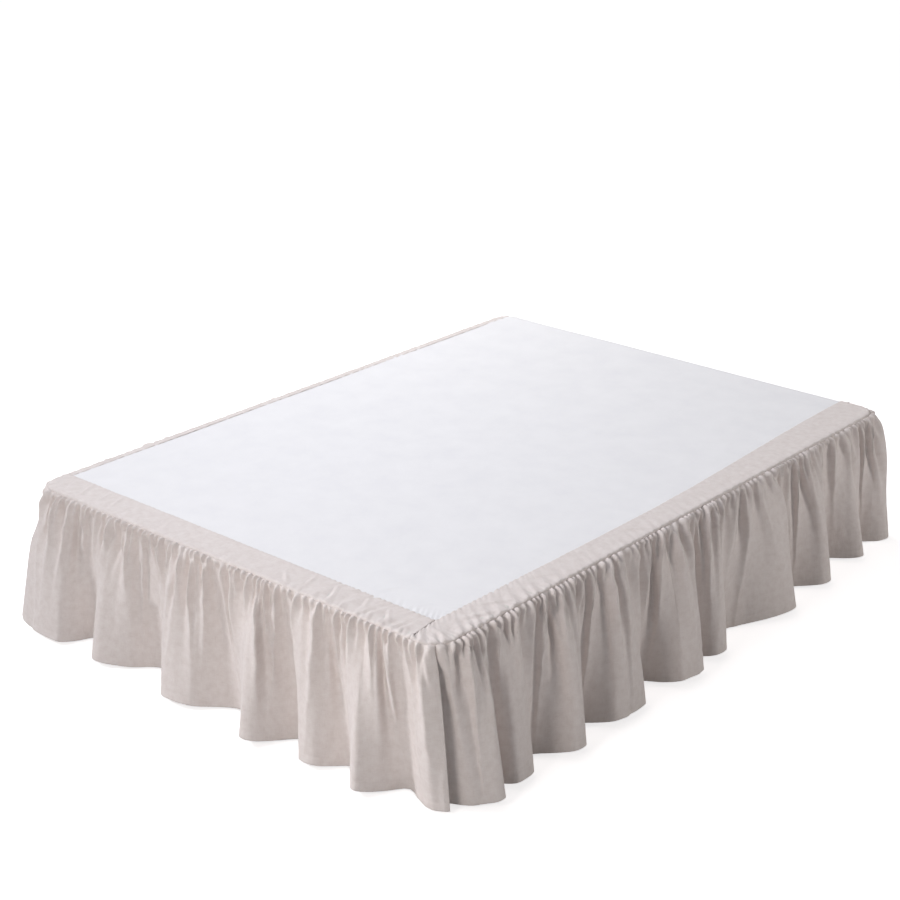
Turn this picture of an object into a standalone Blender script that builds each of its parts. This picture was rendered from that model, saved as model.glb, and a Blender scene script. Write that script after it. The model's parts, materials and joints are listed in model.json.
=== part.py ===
"""A ruffled bed skirt, laid over the plain bed base that it hides.

A white deck sheet lies on the base. Strips of the skirt's own cloth edge it: a wide band
across the foot, a wide band along the near side (+X) and a narrow binding along the far
side (-X). Three gathered ruffles hang from them, split at the foot corners, and the head
end (+Y) is left open. Every ruffle is one sheet that falls in flutes: its hem swings out
to a crest and back to a valley, and its seam follows the edge of the bed.

Units are metres, and +Z is up. The floor is at Z = 0 and the foot of the bed faces -Y.
"""

import math
from collections import namedtuple

import bmesh
import bpy

# The bed, as seen from above
BED_WIDTH = 1.372
BED_LENGTH = 1.905
CORNER_RADIUS = 0.060
TOP_HEIGHT = 0.396
BED_SHIFT = 0.022

# The strips of cloth around the deck
SHEET = 0.0015
EDGE_ROLL = 0.010
JOIN = 0.0004
FOOT_BAND = 0.095
FAR_BINDING = 0.025
ARC_STEPS = 6
SIDE_STEPS = 10

# The ruffles
RUFFLE_THICKNESS = 0.0016
RUFFLE_DROP = 0.3800
SEAM_BELOW_TOP = 0.0112
SEAM_OUT = 0.0008
SPLIT_HALF = 0.0020
HEAD_RETURN = 0.050
GATHER_PUFF = 0.0065
PUFF_HEIGHT = 0.012
CREST_BULGE = 0.003
SWING_POWER = 0.70
TUCK_POWER = 1.60
SLIP_POWER = 0.80
FLANK_STEPS = 4
CREST_STEPS = 2
HEIGHT_ROWS = (0.0, 0.03, 0.10, 0.22, 0.38, 0.57, 0.78, 1.0)

# The base
BASE_INSET = 0.0045
BASE_HEIGHT = 0.200
BASE_CORNER = 0.056
BASE_EDGE = 0.008
LEG_TOP_RADIUS = 0.030
LEG_FOOT_RADIUS = 0.021
LEG_SIDES = 24
LEG_INSET = 0.110
LEG_ROWS = 3

# The near band is a little uneven: its width at each share of the bed's length.
BandWidth = namedtuple("BandWidth", "share width")
NEAR_BAND = (
    BandWidth(0.00, 0.088),
    BandWidth(0.45, 0.080),
    BandWidth(1.00, 0.116),
)
NEAR_BAND_AT_FOOT = 0.078

# One row for each flute of a hem, in order along the seam. The hem leaves its valley,
# reaches its crest and follows it, then falls back to the next row's valley. Distances
# along are measured on the seam, and distances out are measured from the bed's edge.
Flute = namedtuple("Flute", "valley_at valley_out crest_from crest_to crest_out")
Ruffle = namedtuple("Ruffle", "name place turn start_return start_arc straight end_arc"
                              " end_return flutes end_at end_out")

FOOT_FLUTES = (
    Flute(-0.004, 0.096, 0.030, 0.118, 0.078),
    Flute(0.174, -0.014, 0.262, 0.288, 0.080),
    Flute(0.434, -0.014, 0.540, 0.596, 0.088),
    Flute(0.732, 0.000, 0.834, 0.852, 0.108),
    Flute(0.942, 0.001, 1.000, 1.046, 0.076),
    Flute(1.108, 0.012, 1.184, 1.202, 0.096),
    Flute(1.270, -0.008, 1.362, 1.368, 0.062),
)

NEAR_FLUTES = (
    Flute(0.006, 0.014, 0.062, 0.092, 0.112),
    Flute(0.128, 0.036, 0.156, 0.222, 0.092),
    Flute(0.278, 0.018, 0.342, 0.380, 0.114),
    Flute(0.466, 0.020, 0.516, 0.636, 0.104),
    Flute(0.734, 0.005, 0.780, 0.868, 0.116),
    Flute(0.918, 0.032, 0.956, 1.002, 0.098),
    Flute(1.082, 0.014, 1.290, 1.324, 0.106),
    Flute(1.428, 0.000, 1.500, 1.532, 0.088),
    Flute(1.656, -0.010, 1.726, 1.744, 0.076),
    Flute(1.822, 0.003, 1.856, 1.888, 0.080),
)

FAR_FLUTES = (
    Flute(0.006, 0.022, 0.078, 0.108, 0.076),
    Flute(0.164, 0.008, 0.222, 0.262, 0.084),
    Flute(0.330, 0.004, 0.398, 0.466, 0.100),
    Flute(0.540, 0.016, 0.588, 0.622, 0.082),
    Flute(0.702, -0.008, 0.800, 0.878, 0.114),
    Flute(0.962, 0.010, 1.020, 1.046, 0.088),
    Flute(1.128, 0.022, 1.188, 1.282, 0.118),
    Flute(1.364, 0.000, 1.432, 1.458, 0.092),
    Flute(1.538, 0.012, 1.602, 1.676, 0.108),
    Flute(1.746, -0.006, 1.800, 1.826, 0.090),
    Flute(1.888, 0.020, 1.926, 1.946, 0.080),
)

HALF_CORNER = math.pi / 4
QUARTER = math.pi / 2
FOOT_STRAIGHT = BED_WIDTH - 2 * CORNER_RADIUS
SIDE_STRAIGHT = BED_LENGTH - 2 * CORNER_RADIUS

RUFFLES = (
    Ruffle("ruffle_foot", (-BED_WIDTH / 2, -BED_LENGTH / 2), 0.0, 0.0, HALF_CORNER,
           FOOT_STRAIGHT, HALF_CORNER, 0.0, FOOT_FLUTES, 1.372, 0.064),
    Ruffle("ruffle_near_side", (BED_WIDTH / 2, -BED_LENGTH / 2), QUARTER, 0.0, HALF_CORNER,
           SIDE_STRAIGHT, QUARTER, HEAD_RETURN, NEAR_FLUTES, 1.970, 0.022),
    Ruffle("ruffle_far_side", (-BED_WIDTH / 2, BED_LENGTH / 2), -QUARTER, HEAD_RETURN, QUARTER,
           SIDE_STRAIGHT, HALF_CORNER, 0.0, FAR_FLUTES, 1.972, 0.016),
)

NATURAL_CLOTH = (0.690, 0.632, 0.602, 1.0)
WHITE_CLOTH = (0.880, 0.882, 0.900, 1.0)
TICKING = (0.640, 0.630, 0.610, 1.0)
BEECH = (0.560, 0.400, 0.250, 1.0)


def clear_scene():
    """Removes whatever the scene already holds."""
    for item in list(bpy.data.objects):
        bpy.data.objects.remove(item, do_unlink=True)


def make_material(name, colour, roughness):
    """A plain Principled finish for one kind of stuff."""
    material = bpy.data.materials.new(name)
    material.use_nodes = True
    shader = material.node_tree.nodes["Principled BSDF"]
    shader.inputs["Base Color"].default_value = colour
    shader.inputs["Roughness"].default_value = roughness
    shader.inputs["Metallic"].default_value = 0.0
    return material


def add_object(name, bm, material, parent):
    """Turns a bmesh into a named object that hangs under the bed's empty."""
    bmesh.ops.recalc_face_normals(bm, faces=bm.faces)
    mesh = bpy.data.meshes.new(name)
    bm.to_mesh(mesh)
    bm.free()
    mesh.materials.append(material)
    made = bpy.data.objects.new(name, mesh)
    made.parent = parent
    bpy.context.collection.objects.link(made)
    return made


def thicken(made, thickness, offset):
    """Gives a sheet its thickness: offset -1 grows it inwards, 0 to both sides."""
    solid = made.modifiers.new("thickness", "SOLIDIFY")
    solid.thickness = thickness
    solid.offset = offset
    solid.use_even_offset = False
    return solid


def ease(share):
    """A soft run from 0 to 1, level at both ends."""
    return 0.5 - 0.5 * math.cos(math.pi * share)


def corner_points(centre_x, centre_y, first, last, steps=ARC_STEPS):
    """Edge points on a rounded corner, each as (x, y, outward x, outward y)."""
    points = []
    for step in range(steps + 1):
        angle = math.radians(first + (last - first) * step / steps)
        out_x, out_y = math.cos(angle), math.sin(angle)
        points.append((centre_x + CORNER_RADIUS * out_x, centre_y + CORNER_RADIUS * out_y,
                       out_x, out_y))
    return points


def near_band_width(share):
    """Width of the near band at a share of the bed's length, 0 at the foot."""
    for low, high in zip(NEAR_BAND, NEAR_BAND[1:]):
        if share <= high.share:
            part = (share - low.share) / (high.share - low.share)
            return low.width + (high.width - low.width) * ease(part)
    return NEAR_BAND[-1].width


def near_seam(inward):
    """The seam between deck and near band, from foot to head, moved inward by a gap."""
    points = []
    for step in range(SIDE_STEPS + 1):
        y = FOOT_BAND + (BED_LENGTH - EDGE_ROLL - FOOT_BAND) * step / SIDE_STEPS
        width = near_band_width(y / BED_LENGTH) + inward
        points.append((BED_WIDTH / 2 - width, y - BED_LENGTH / 2))
    return points


def rolled_sheet(name, inner, outer, material, parent):
    """A flat sheet whose outer side rolls down over the edge of the base.

    inner holds (x, y) points, outer holds (x, y, outward x, outward y) points, and
    together they go once round the sheet.
    """
    bm = bmesh.new()
    flat = [bm.verts.new((x - out_x * EDGE_ROLL, y - out_y * EDGE_ROLL, TOP_HEIGHT))
            for x, y, out_x, out_y in outer]
    bm.faces.new(flat + [bm.verts.new((x, y, TOP_HEIGHT)) for x, y in inner])
    levels = [(EDGE_ROLL * (1 - math.sin(math.radians(turn))),
               EDGE_ROLL * (1 - math.cos(math.radians(turn)))) for turn in (30, 60, 90)]
    upper = flat
    for inset, depth in levels:
        lower = [bm.verts.new((x - out_x * inset, y - out_y * inset, TOP_HEIGHT - depth))
                 for x, y, out_x, out_y in outer]
        for index in range(len(outer) - 1):
            bm.faces.new((upper[index], upper[index + 1], lower[index + 1], lower[index]))
        upper = lower
    bmesh.ops.recalc_face_normals(bm, faces=bm.faces)
    if max(bm.faces, key=lambda face: face.calc_area()).normal.z < 0:
        bmesh.ops.reverse_faces(bm, faces=bm.faces)
    mesh = bpy.data.meshes.new(name)
    bm.to_mesh(mesh)
    bm.free()
    mesh.materials.append(material)
    made = bpy.data.objects.new(name, mesh)
    made.parent = parent
    bpy.context.collection.objects.link(made)
    thicken(made, SHEET, -1)
    return made


def build_near_band(material, parent):
    """The near band, which runs through the near corner to the foot ruffle's seam."""
    side, foot, head = BED_WIDTH / 2, -BED_LENGTH / 2, BED_LENGTH / 2
    radius = CORNER_RADIUS
    outer = [(side - NEAR_BAND_AT_FOOT, foot, 0.0, -1.0)]
    outer += corner_points(side - radius, foot + radius, -90, 0)
    outer += corner_points(side - radius, head - radius, 0, 90)
    outer.append((side - NEAR_BAND[-1].width, head, 0.0, 1.0))
    inner = list(reversed(near_seam(0.0)[:-1]))
    rolled_sheet("band_near_side", inner, outer, material, parent)


def build_foot_band(material, parent):
    """The foot band, from the near band's seam round the far corner."""
    side, foot = BED_WIDTH / 2, -BED_LENGTH / 2
    radius = CORNER_RADIUS
    outer = [(-side, foot + FOOT_BAND, -1.0, 0.0)]
    outer += corner_points(-side + radius, foot + radius, 180, 270)
    outer.append((side - NEAR_BAND_AT_FOOT - JOIN, foot, 0.0, -1.0))
    inner = [(side - near_band_width(FOOT_BAND / BED_LENGTH) - JOIN, foot + FOOT_BAND)]
    rolled_sheet("band_foot", inner, outer, material, parent)


def binding_end_angle():
    """Where on the far head corner the binding's inner seam runs out, in degrees."""
    return 180 - math.degrees(math.acos(1 - FAR_BINDING / CORNER_RADIUS))


def build_far_binding(material, parent):
    """The narrow binding along the far side."""
    side, foot, head = BED_WIDTH / 2, -BED_LENGTH / 2, BED_LENGTH / 2
    radius = CORNER_RADIUS
    start = foot + FOOT_BAND + JOIN
    last = binding_end_angle()
    outer = corner_points(-side + radius, head - radius, last, 180)
    outer.append((-side, start, -1.0, 0.0))
    inner = [(-side + FAR_BINDING, start)]
    rolled_sheet("binding_far_side", inner, outer, material, parent)


def build_deck(material, parent):
    """The white deck sheet, hemmed where it turns down at the head."""
    side, foot, head = BED_WIDTH / 2, -BED_LENGTH / 2, BED_LENGTH / 2
    radius = CORNER_RADIUS
    first = binding_end_angle() - math.degrees(JOIN / radius)
    outer = [(side - NEAR_BAND[-1].width - JOIN, head, 0.0, 1.0)]
    outer += corner_points(-side + radius, head - radius, 90, first)
    seam = near_seam(JOIN)[:-1]
    inner = [(-side + FAR_BINDING + JOIN, foot + FOOT_BAND + JOIN)]
    inner += [(seam[0][0], foot + FOOT_BAND + JOIN)] + seam[1:]
    rolled_sheet("deck", inner, outer, material, parent)


def seam_point(ruffle, along):
    """A place on a ruffle's seam as (x, y, outward x, outward y).

    The seam comes out of one corner, runs along the local X axis and turns the next
    corner. Outward is -Y on the straight run. Past either end it goes on straight.
    """
    radius = CORNER_RADIUS
    lead_in = ruffle.start_return + radius * ruffle.start_arc
    run_out = lead_in + ruffle.straight
    if along < lead_in:
        rest = min(along - ruffle.start_return, 0.0)
        turned = (along - rest - lead_in) / radius
        centre_x = radius
    elif along > run_out:
        turned = min((along - run_out) / radius, ruffle.end_arc)
        centre_x = radius + ruffle.straight
        rest = along - run_out - turned * radius
    else:
        return along - lead_in + radius, 0.0, 0.0, -1.0
    out_x, out_y = math.sin(turned), -math.cos(turned)
    x = centre_x + radius * out_x - out_y * rest
    y = radius + radius * out_y + out_x * rest
    return x, y, out_x, out_y


def hem_stations(ruffle):
    """The hem's course, as (along, out) pairs from one end of the ruffle to the other."""
    corners = []
    for flute in ruffle.flutes:
        corners.append((flute.valley_at, flute.valley_out, FLANK_STEPS, 0.0))
        corners.append((flute.crest_from, flute.crest_out, CREST_STEPS, CREST_BULGE))
        corners.append((flute.crest_to, flute.crest_out, FLANK_STEPS, 0.0))
    corners.append((ruffle.end_at, ruffle.end_out, 0, 0.0))
    stations = []
    for here, there in zip(corners, corners[1:]):
        for step in range(here[2]):
            share = step / here[2]
            out = here[1] + (there[1] - here[1]) * ease(share)
            out += here[3] * math.sin(math.pi * share)
            stations.append((here[0] + (there[0] - here[0]) * share, out))
    stations.append(corners[-1][:2])
    return stations


def seam_length(ruffle):
    """Length of a ruffle's seam, from one split or end to the other."""
    turned = (ruffle.start_arc + ruffle.end_arc) * CORNER_RADIUS
    return ruffle.start_return + turned + ruffle.straight + ruffle.end_return


def even_shares(ruffle, stations):
    """Share of the cloth's width used up at each station, by the length of the hem."""
    places = []
    for along, out in stations:
        x, y, out_x, out_y = seam_point(ruffle, along)
        places.append((x + out_x * out, y + out_y * out))
    lengths = [0.0]
    for here, there in zip(places, places[1:]):
        lengths.append(lengths[-1] + math.dist(here, there))
    return [length / lengths[-1] for length in lengths]


def ruffle_point(ruffle, seam_along, hem_along, hem_out, fall):
    """A place on a ruffle, where fall goes from 0 at the seam to 1 at the hem."""
    along = seam_along + (hem_along - seam_along) * fall ** SLIP_POWER
    power = SWING_POWER if hem_out > 0 else TUCK_POWER
    reach = math.hypot(hem_out, hem_along - seam_along)
    drop = math.sqrt(RUFFLE_DROP ** 2 - reach ** 2)
    puff = GATHER_PUFF * (1 - math.exp(-fall * RUFFLE_DROP / PUFF_HEIGHT)) * (1 - fall)
    x, y, out_x, out_y = seam_point(ruffle, along)
    out = SEAM_OUT + hem_out * fall ** power + puff
    return x + out_x * out, y + out_y * out, TOP_HEIGHT - SEAM_BELOW_TOP - drop * fall


def build_ruffle(ruffle, material, parent):
    """One ruffle, as a fluted sheet hung from its seam."""
    stations = hem_stations(ruffle)
    shares = even_shares(ruffle, stations)
    length = seam_length(ruffle)
    bm = bmesh.new()
    columns = []
    for (hem_along, hem_out), share in zip(stations, shares):
        seam_along = SPLIT_HALF + (length - 2 * SPLIT_HALF) * share
        columns.append([bm.verts.new(ruffle_point(ruffle, seam_along, hem_along, hem_out, fall))
                        for fall in HEIGHT_ROWS])
    for here, there in zip(columns, columns[1:]):
        for row in range(len(HEIGHT_ROWS) - 1):
            bm.faces.new((here[row], here[row + 1], there[row + 1], there[row]))
    made = add_object(ruffle.name, bm, material, parent)
    made.location = (ruffle.place[0], ruffle.place[1], 0.0)
    made.rotation_euler = (0.0, 0.0, ruffle.turn)
    thicken(made, RUFFLE_THICKNESS, 0)
    return made


def build_base(material, parent):
    """The plain upholstered box that the skirt lies on."""
    half_x = BED_WIDTH / 2 - BASE_INSET
    half_y = BED_LENGTH / 2 - BASE_INSET
    top = TOP_HEIGHT - SHEET - JOIN
    bm = bmesh.new()
    ring = []
    for number, (sign_x, sign_y) in enumerate(((1, 1), (-1, 1), (-1, -1), (1, -1))):
        for step in range(ARC_STEPS + 1):
            angle = QUARTER * (number + step / ARC_STEPS)
            x = sign_x * (half_x - BASE_CORNER) + BASE_CORNER * math.cos(angle)
            y = sign_y * (half_y - BASE_CORNER) + BASE_CORNER * math.sin(angle)
            ring.append(bm.verts.new((x, y, top - BASE_HEIGHT)))
    bottom = bm.faces.new(ring)
    raised = bmesh.ops.extrude_face_region(bm, geom=[bottom])
    lifted = [item for item in raised["geom"] if isinstance(item, bmesh.types.BMVert)]
    bmesh.ops.translate(bm, verts=lifted, vec=(0, 0, BASE_HEIGHT))
    made = add_object("base_box", bm, material, parent)
    rounding = made.modifiers.new("edge", "BEVEL")
    rounding.width = BASE_EDGE
    rounding.segments = 3
    rounding.limit_method = "ANGLE"
    rounding.angle_limit = math.radians(60)
    return made


def build_legs(material, parent):
    """Two rows of tapered round legs under the box."""
    height = TOP_HEIGHT - SHEET - JOIN - BASE_HEIGHT - JOIN
    reach_x = BED_WIDTH / 2 - LEG_INSET
    reach_y = BED_LENGTH / 2 - LEG_INSET
    number = 0
    for row in range(LEG_ROWS):
        for side in (-1, 1):
            number += 1
            bm = bmesh.new()
            bmesh.ops.create_cone(bm, cap_ends=True, segments=LEG_SIDES,
                                  radius1=LEG_FOOT_RADIUS, radius2=LEG_TOP_RADIUS, depth=height)
            leg = add_object(f"leg_{number}", bm, material, parent)
            y = reach_y * (2 * row / (LEG_ROWS - 1) - 1)
            leg.location = (side * reach_x, y, height / 2)


def build_bed_skirt():
    """Builds every sub-part under one empty at the middle of the bed."""
    clear_scene()
    bed = bpy.data.objects.new("bed", None)
    bed.location = (0.0, BED_SHIFT, 0.0)
    bpy.context.collection.objects.link(bed)
    natural = make_material("natural_cloth", NATURAL_CLOTH, 0.90)
    white = make_material("white_cloth", WHITE_CLOTH, 0.85)
    ticking = make_material("ticking", TICKING, 0.90)
    beech = make_material("beech", BEECH, 0.50)
    build_deck(white, bed)
    build_foot_band(natural, bed)
    build_near_band(natural, bed)
    build_far_binding(natural, bed)
    for ruffle in RUFFLES:
        build_ruffle(ruffle, natural, bed)
    build_base(ticking, bed)
    build_legs(beech, bed)


build_bed_skirt()
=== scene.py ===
import json
import math
from collections import namedtuple

import bmesh
import bpy
import numpy as np
from bpy.props import FloatProperty, FloatVectorProperty, PointerProperty
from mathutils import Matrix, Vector

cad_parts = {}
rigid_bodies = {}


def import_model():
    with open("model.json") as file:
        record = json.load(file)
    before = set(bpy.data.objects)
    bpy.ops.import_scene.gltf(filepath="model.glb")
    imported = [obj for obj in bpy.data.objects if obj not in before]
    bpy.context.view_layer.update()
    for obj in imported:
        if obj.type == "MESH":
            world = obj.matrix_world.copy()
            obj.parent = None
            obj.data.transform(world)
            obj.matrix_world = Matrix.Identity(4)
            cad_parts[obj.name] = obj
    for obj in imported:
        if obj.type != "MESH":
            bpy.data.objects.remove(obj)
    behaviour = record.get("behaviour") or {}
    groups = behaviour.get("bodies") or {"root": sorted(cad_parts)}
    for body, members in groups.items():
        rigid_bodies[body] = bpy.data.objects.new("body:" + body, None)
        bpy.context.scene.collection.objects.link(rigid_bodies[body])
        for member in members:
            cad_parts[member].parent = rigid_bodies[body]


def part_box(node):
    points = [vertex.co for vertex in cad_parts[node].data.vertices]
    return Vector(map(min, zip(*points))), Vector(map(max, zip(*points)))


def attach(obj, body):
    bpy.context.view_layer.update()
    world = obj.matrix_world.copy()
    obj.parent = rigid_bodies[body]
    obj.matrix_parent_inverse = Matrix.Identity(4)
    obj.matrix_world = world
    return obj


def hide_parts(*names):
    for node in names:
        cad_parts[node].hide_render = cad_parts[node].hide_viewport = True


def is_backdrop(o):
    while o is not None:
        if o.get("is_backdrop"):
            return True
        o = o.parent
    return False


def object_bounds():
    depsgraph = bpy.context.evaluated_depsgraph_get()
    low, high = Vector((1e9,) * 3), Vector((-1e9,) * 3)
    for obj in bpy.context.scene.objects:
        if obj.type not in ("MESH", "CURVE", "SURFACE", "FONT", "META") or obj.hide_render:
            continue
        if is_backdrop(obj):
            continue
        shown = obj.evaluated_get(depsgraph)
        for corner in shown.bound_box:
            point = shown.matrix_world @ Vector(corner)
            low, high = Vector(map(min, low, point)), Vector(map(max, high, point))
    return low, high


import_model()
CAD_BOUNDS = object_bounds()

bl_info = {
    "name": "Gathered Bed Skirt",
    "version": (1, 0, 0),
    "blender": (4, 5, 0),
    "location": "View3D > Sidebar > Bed Skirt",
    "description": "Dresses a plain bed base in a gathered bed skirt with a white deck",
    "category": "Add Mesh",
}


def linear(hex_colour):
    """An sRGB hex colour as linear red, green, blue and alpha."""
    parts = [int(hex_colour[place:place + 2], 16) / 255 for place in (1, 3, 5)]
    curve = [part / 12.92 if part <= 0.04045 else ((part + 0.055) / 1.055) ** 2.4
             for part in parts]
    return (*curve, 1.0)


# ---------------------------------------------------------------------------------------
# Sizes, in metres. The bed's edges come from the frame.
# ---------------------------------------------------------------------------------------

NEAR_LOW, NEAR_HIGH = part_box("band_near_side")
FOOT_LOW, FOOT_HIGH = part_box("band_foot")
BASE_LOW, BASE_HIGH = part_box("base_box")

NEAR_X = NEAR_HIGH[0]
FAR_X = FOOT_LOW[0]
FOOT_Y = NEAR_LOW[1]
HEAD_Y = NEAR_HIGH[1]
TOP_Z = NEAR_HIGH[2]
BED_WIDTH = NEAR_X - FAR_X
BED_LENGTH = HEAD_Y - FOOT_Y
FOOT_BAND = FOOT_HIGH[1] - FOOT_Y

CORNER_RADIUS = 0.060
JOIN = 0.0004
FAR_BINDING = 0.025
NEAR_BAND_AT_FOOT = 0.078
BandWidth = namedtuple("BandWidth", "share width")
NEAR_BAND = (BandWidth(0.00, 0.088), BandWidth(0.45, 0.080), BandWidth(1.00, 0.116))

RUFFLE_DROP = 0.3800
HEM_SEAM_BELOW = 0.0112
SEAM_OUT = 0.0008
SPLIT_HALF = 0.0020
HEAD_RETURN = 0.050
GATHER_PUFF = 0.0065
PUFF_HEIGHT = 0.012
CREST_BULGE = 0.003
SWING_POWER = 0.70
TUCK_POWER = 1.60
SLIP_POWER = 0.80

Flute = namedtuple("Flute", "valley_at valley_out crest_from crest_to crest_out")
Ruffle = namedtuple("Ruffle", "name place turn start_return start_arc straight end_arc"
                              " end_return flutes end_at end_out folds creases crimp seed")

FOOT_FLUTES = (
    Flute(-0.004, 0.096, 0.030, 0.118, 0.078),
    Flute(0.174, -0.014, 0.262, 0.288, 0.080),
    Flute(0.434, -0.014, 0.540, 0.596, 0.088),
    Flute(0.732, 0.000, 0.834, 0.852, 0.108),
    Flute(0.942, 0.001, 1.000, 1.046, 0.076),
    Flute(1.108, 0.012, 1.184, 1.202, 0.096),
    Flute(1.270, -0.008, 1.362, 1.368, 0.062),
)

NEAR_FLUTES = (
    Flute(0.006, 0.014, 0.062, 0.092, 0.112),
    Flute(0.128, 0.036, 0.156, 0.222, 0.092),
    Flute(0.278, 0.018, 0.342, 0.380, 0.114),
    Flute(0.466, 0.020, 0.516, 0.636, 0.104),
    Flute(0.734, 0.005, 0.780, 0.868, 0.116),
    Flute(0.918, 0.032, 0.956, 1.002, 0.098),
    Flute(1.082, 0.014, 1.290, 1.324, 0.106),
    Flute(1.428, 0.000, 1.500, 1.532, 0.088),
    Flute(1.656, -0.010, 1.726, 1.744, 0.076),
    Flute(1.822, 0.003, 1.856, 1.888, 0.080),
)

FAR_FLUTES = (
    Flute(0.006, 0.022, 0.078, 0.108, 0.076),
    Flute(0.164, 0.008, 0.222, 0.262, 0.084),
    Flute(0.330, 0.004, 0.398, 0.466, 0.100),
    Flute(0.540, 0.016, 0.588, 0.622, 0.082),
    Flute(0.702, -0.008, 0.800, 0.878, 0.114),
    Flute(0.962, 0.010, 1.020, 1.046, 0.088),
    Flute(1.128, 0.022, 1.188, 1.282, 0.118),
    Flute(1.364, 0.000, 1.432, 1.458, 0.092),
    Flute(1.538, 0.012, 1.602, 1.676, 0.108),
    Flute(1.746, -0.006, 1.800, 1.826, 0.090),
    Flute(1.888, 0.020, 1.926, 1.946, 0.080),
)

# Deep folds that run down from the seam: where they leave it, how far they drift along
# the cloth, the share of the drop that they reach, and their depth and half width.
DeepFold = namedtuple("DeepFold", "seam_at drift reach depth width")

FOOT_FOLDS = (
    DeepFold(0.064, -0.006, 0.34, 0.0060, 0.0075),
    DeepFold(0.158, 0.010, 0.46, 0.0080, 0.0090),
    DeepFold(0.262, 0.004, 0.24, 0.0055, 0.0070),
    DeepFold(0.352, -0.012, 0.40, 0.0070, 0.0085),
    DeepFold(0.446, 0.006, 0.55, 0.0085, 0.0095),
    DeepFold(0.547, 0.002, 0.36, 0.0070, 0.0080),
    DeepFold(0.604, -0.002, 0.50, 0.0065, 0.0085),
    DeepFold(0.647, 0.002, 0.20, 0.0060, 0.0070),
    DeepFold(0.704, 0.008, 0.48, 0.0090, 0.0095),
    DeepFold(0.828, 0.022, 0.62, 0.0105, 0.0105),
    DeepFold(0.922, 0.004, 0.40, 0.0070, 0.0080),
    DeepFold(1.047, 0.010, 0.60, 0.0100, 0.0100),
    DeepFold(1.093, -0.002, 0.34, 0.0065, 0.0075),
    DeepFold(1.202, 0.022, 0.72, 0.0110, 0.0105),
    DeepFold(1.267, 0.008, 0.36, 0.0065, 0.0080),
    DeepFold(1.316, 0.010, 0.32, 0.0070, 0.0075),
    DeepFold(1.350, 0.004, 0.22, 0.0060, 0.0060),
)

NEAR_FOLDS = (
    DeepFold(0.040, 0.004, 0.30, 0.0055, 0.0080),
    DeepFold(0.113, 0.008, 0.34, 0.0085, 0.0090),
    DeepFold(0.225, 0.004, 0.22, 0.0065, 0.0080),
    DeepFold(0.361, 0.012, 0.50, 0.0100, 0.0100),
    DeepFold(0.490, -0.006, 0.30, 0.0070, 0.0080),
    DeepFold(0.604, -0.002, 0.42, 0.0080, 0.0090),
    DeepFold(0.721, 0.014, 0.44, 0.0090, 0.0095),
    DeepFold(0.776, -0.004, 0.60, 0.0085, 0.0090),
    DeepFold(0.843, 0.012, 0.36, 0.0070, 0.0085),
    DeepFold(0.957, 0.010, 0.46, 0.0090, 0.0095),
    DeepFold(1.053, 0.008, 0.50, 0.0085, 0.0095),
    DeepFold(1.176, -0.008, 0.34, 0.0075, 0.0090),
    DeepFold(1.318, 0.010, 0.54, 0.0090, 0.0100),
    DeepFold(1.452, 0.004, 0.30, 0.0070, 0.0085),
    DeepFold(1.588, -0.010, 0.48, 0.0085, 0.0095),
    DeepFold(1.716, 0.006, 0.36, 0.0075, 0.0090),
    DeepFold(1.838, 0.008, 0.52, 0.0085, 0.0095),
)

FAR_FOLDS = (
    DeepFold(0.092, 0.006, 0.38, 0.0070, 0.0085),
    DeepFold(0.214, -0.008, 0.52, 0.0090, 0.0095),
    DeepFold(0.338, 0.010, 0.30, 0.0065, 0.0080),
    DeepFold(0.486, 0.012, 0.58, 0.0095, 0.0100),
    DeepFold(0.602, -0.004, 0.34, 0.0070, 0.0085),
    DeepFold(0.744, 0.008, 0.44, 0.0085, 0.0095),
    DeepFold(0.872, -0.010, 0.62, 0.0095, 0.0100),
    DeepFold(1.016, 0.006, 0.36, 0.0075, 0.0085),
    DeepFold(1.148, 0.014, 0.50, 0.0085, 0.0095),
    DeepFold(1.304, -0.006, 0.32, 0.0070, 0.0080),
    DeepFold(1.446, 0.010, 0.56, 0.0095, 0.0100),
    DeepFold(1.592, 0.004, 0.40, 0.0080, 0.0090),
    DeepFold(1.748, -0.008, 0.48, 0.0085, 0.0095),
    DeepFold(1.894, 0.006, 0.36, 0.0075, 0.0085),
)

# A crease pressed into a sheet, from one place to another on the flat cloth, with its
# height (below zero: a groove) and its half width.
Crease = namedtuple("Crease", "from_u from_v to_u to_v height width")

FOOT_CREASES = (
    Crease(1.215, 0.300, 1.255, 0.372, 0.0022, 0.0050),
    Crease(1.235, 0.352, 1.330, 0.330, -0.0018, 0.0040),
    Crease(1.300, 0.290, 1.345, 0.345, 0.0016, 0.0045),
    Crease(0.640, 0.318, 0.742, 0.336, -0.0014, 0.0045),
    Crease(1.585, 0.338, 1.672, 0.352, -0.0016, 0.0042),
    Crease(0.232, 0.286, 0.296, 0.344, 0.0015, 0.0046),
)

NEAR_CREASES = (
    Crease(1.010, 0.330, 1.062, 0.352, 0.0020, 0.0045),
    Crease(1.268, 0.296, 1.330, 0.330, 0.0022, 0.0050),
    Crease(1.292, 0.338, 1.372, 0.318, -0.0016, 0.0042),
    Crease(0.560, 0.322, 0.640, 0.350, -0.0014, 0.0044),
    Crease(1.830, 0.300, 1.905, 0.338, 0.0018, 0.0048),
    Crease(2.440, 0.314, 2.520, 0.296, -0.0015, 0.0044),
)

FAR_CREASES = (
    Crease(0.420, 0.306, 0.492, 0.340, 0.0018, 0.0046),
    Crease(1.120, 0.330, 1.204, 0.312, -0.0016, 0.0044),
    Crease(1.730, 0.296, 1.796, 0.346, 0.0020, 0.0048),
    Crease(2.380, 0.322, 2.470, 0.340, -0.0015, 0.0044),
)

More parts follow.
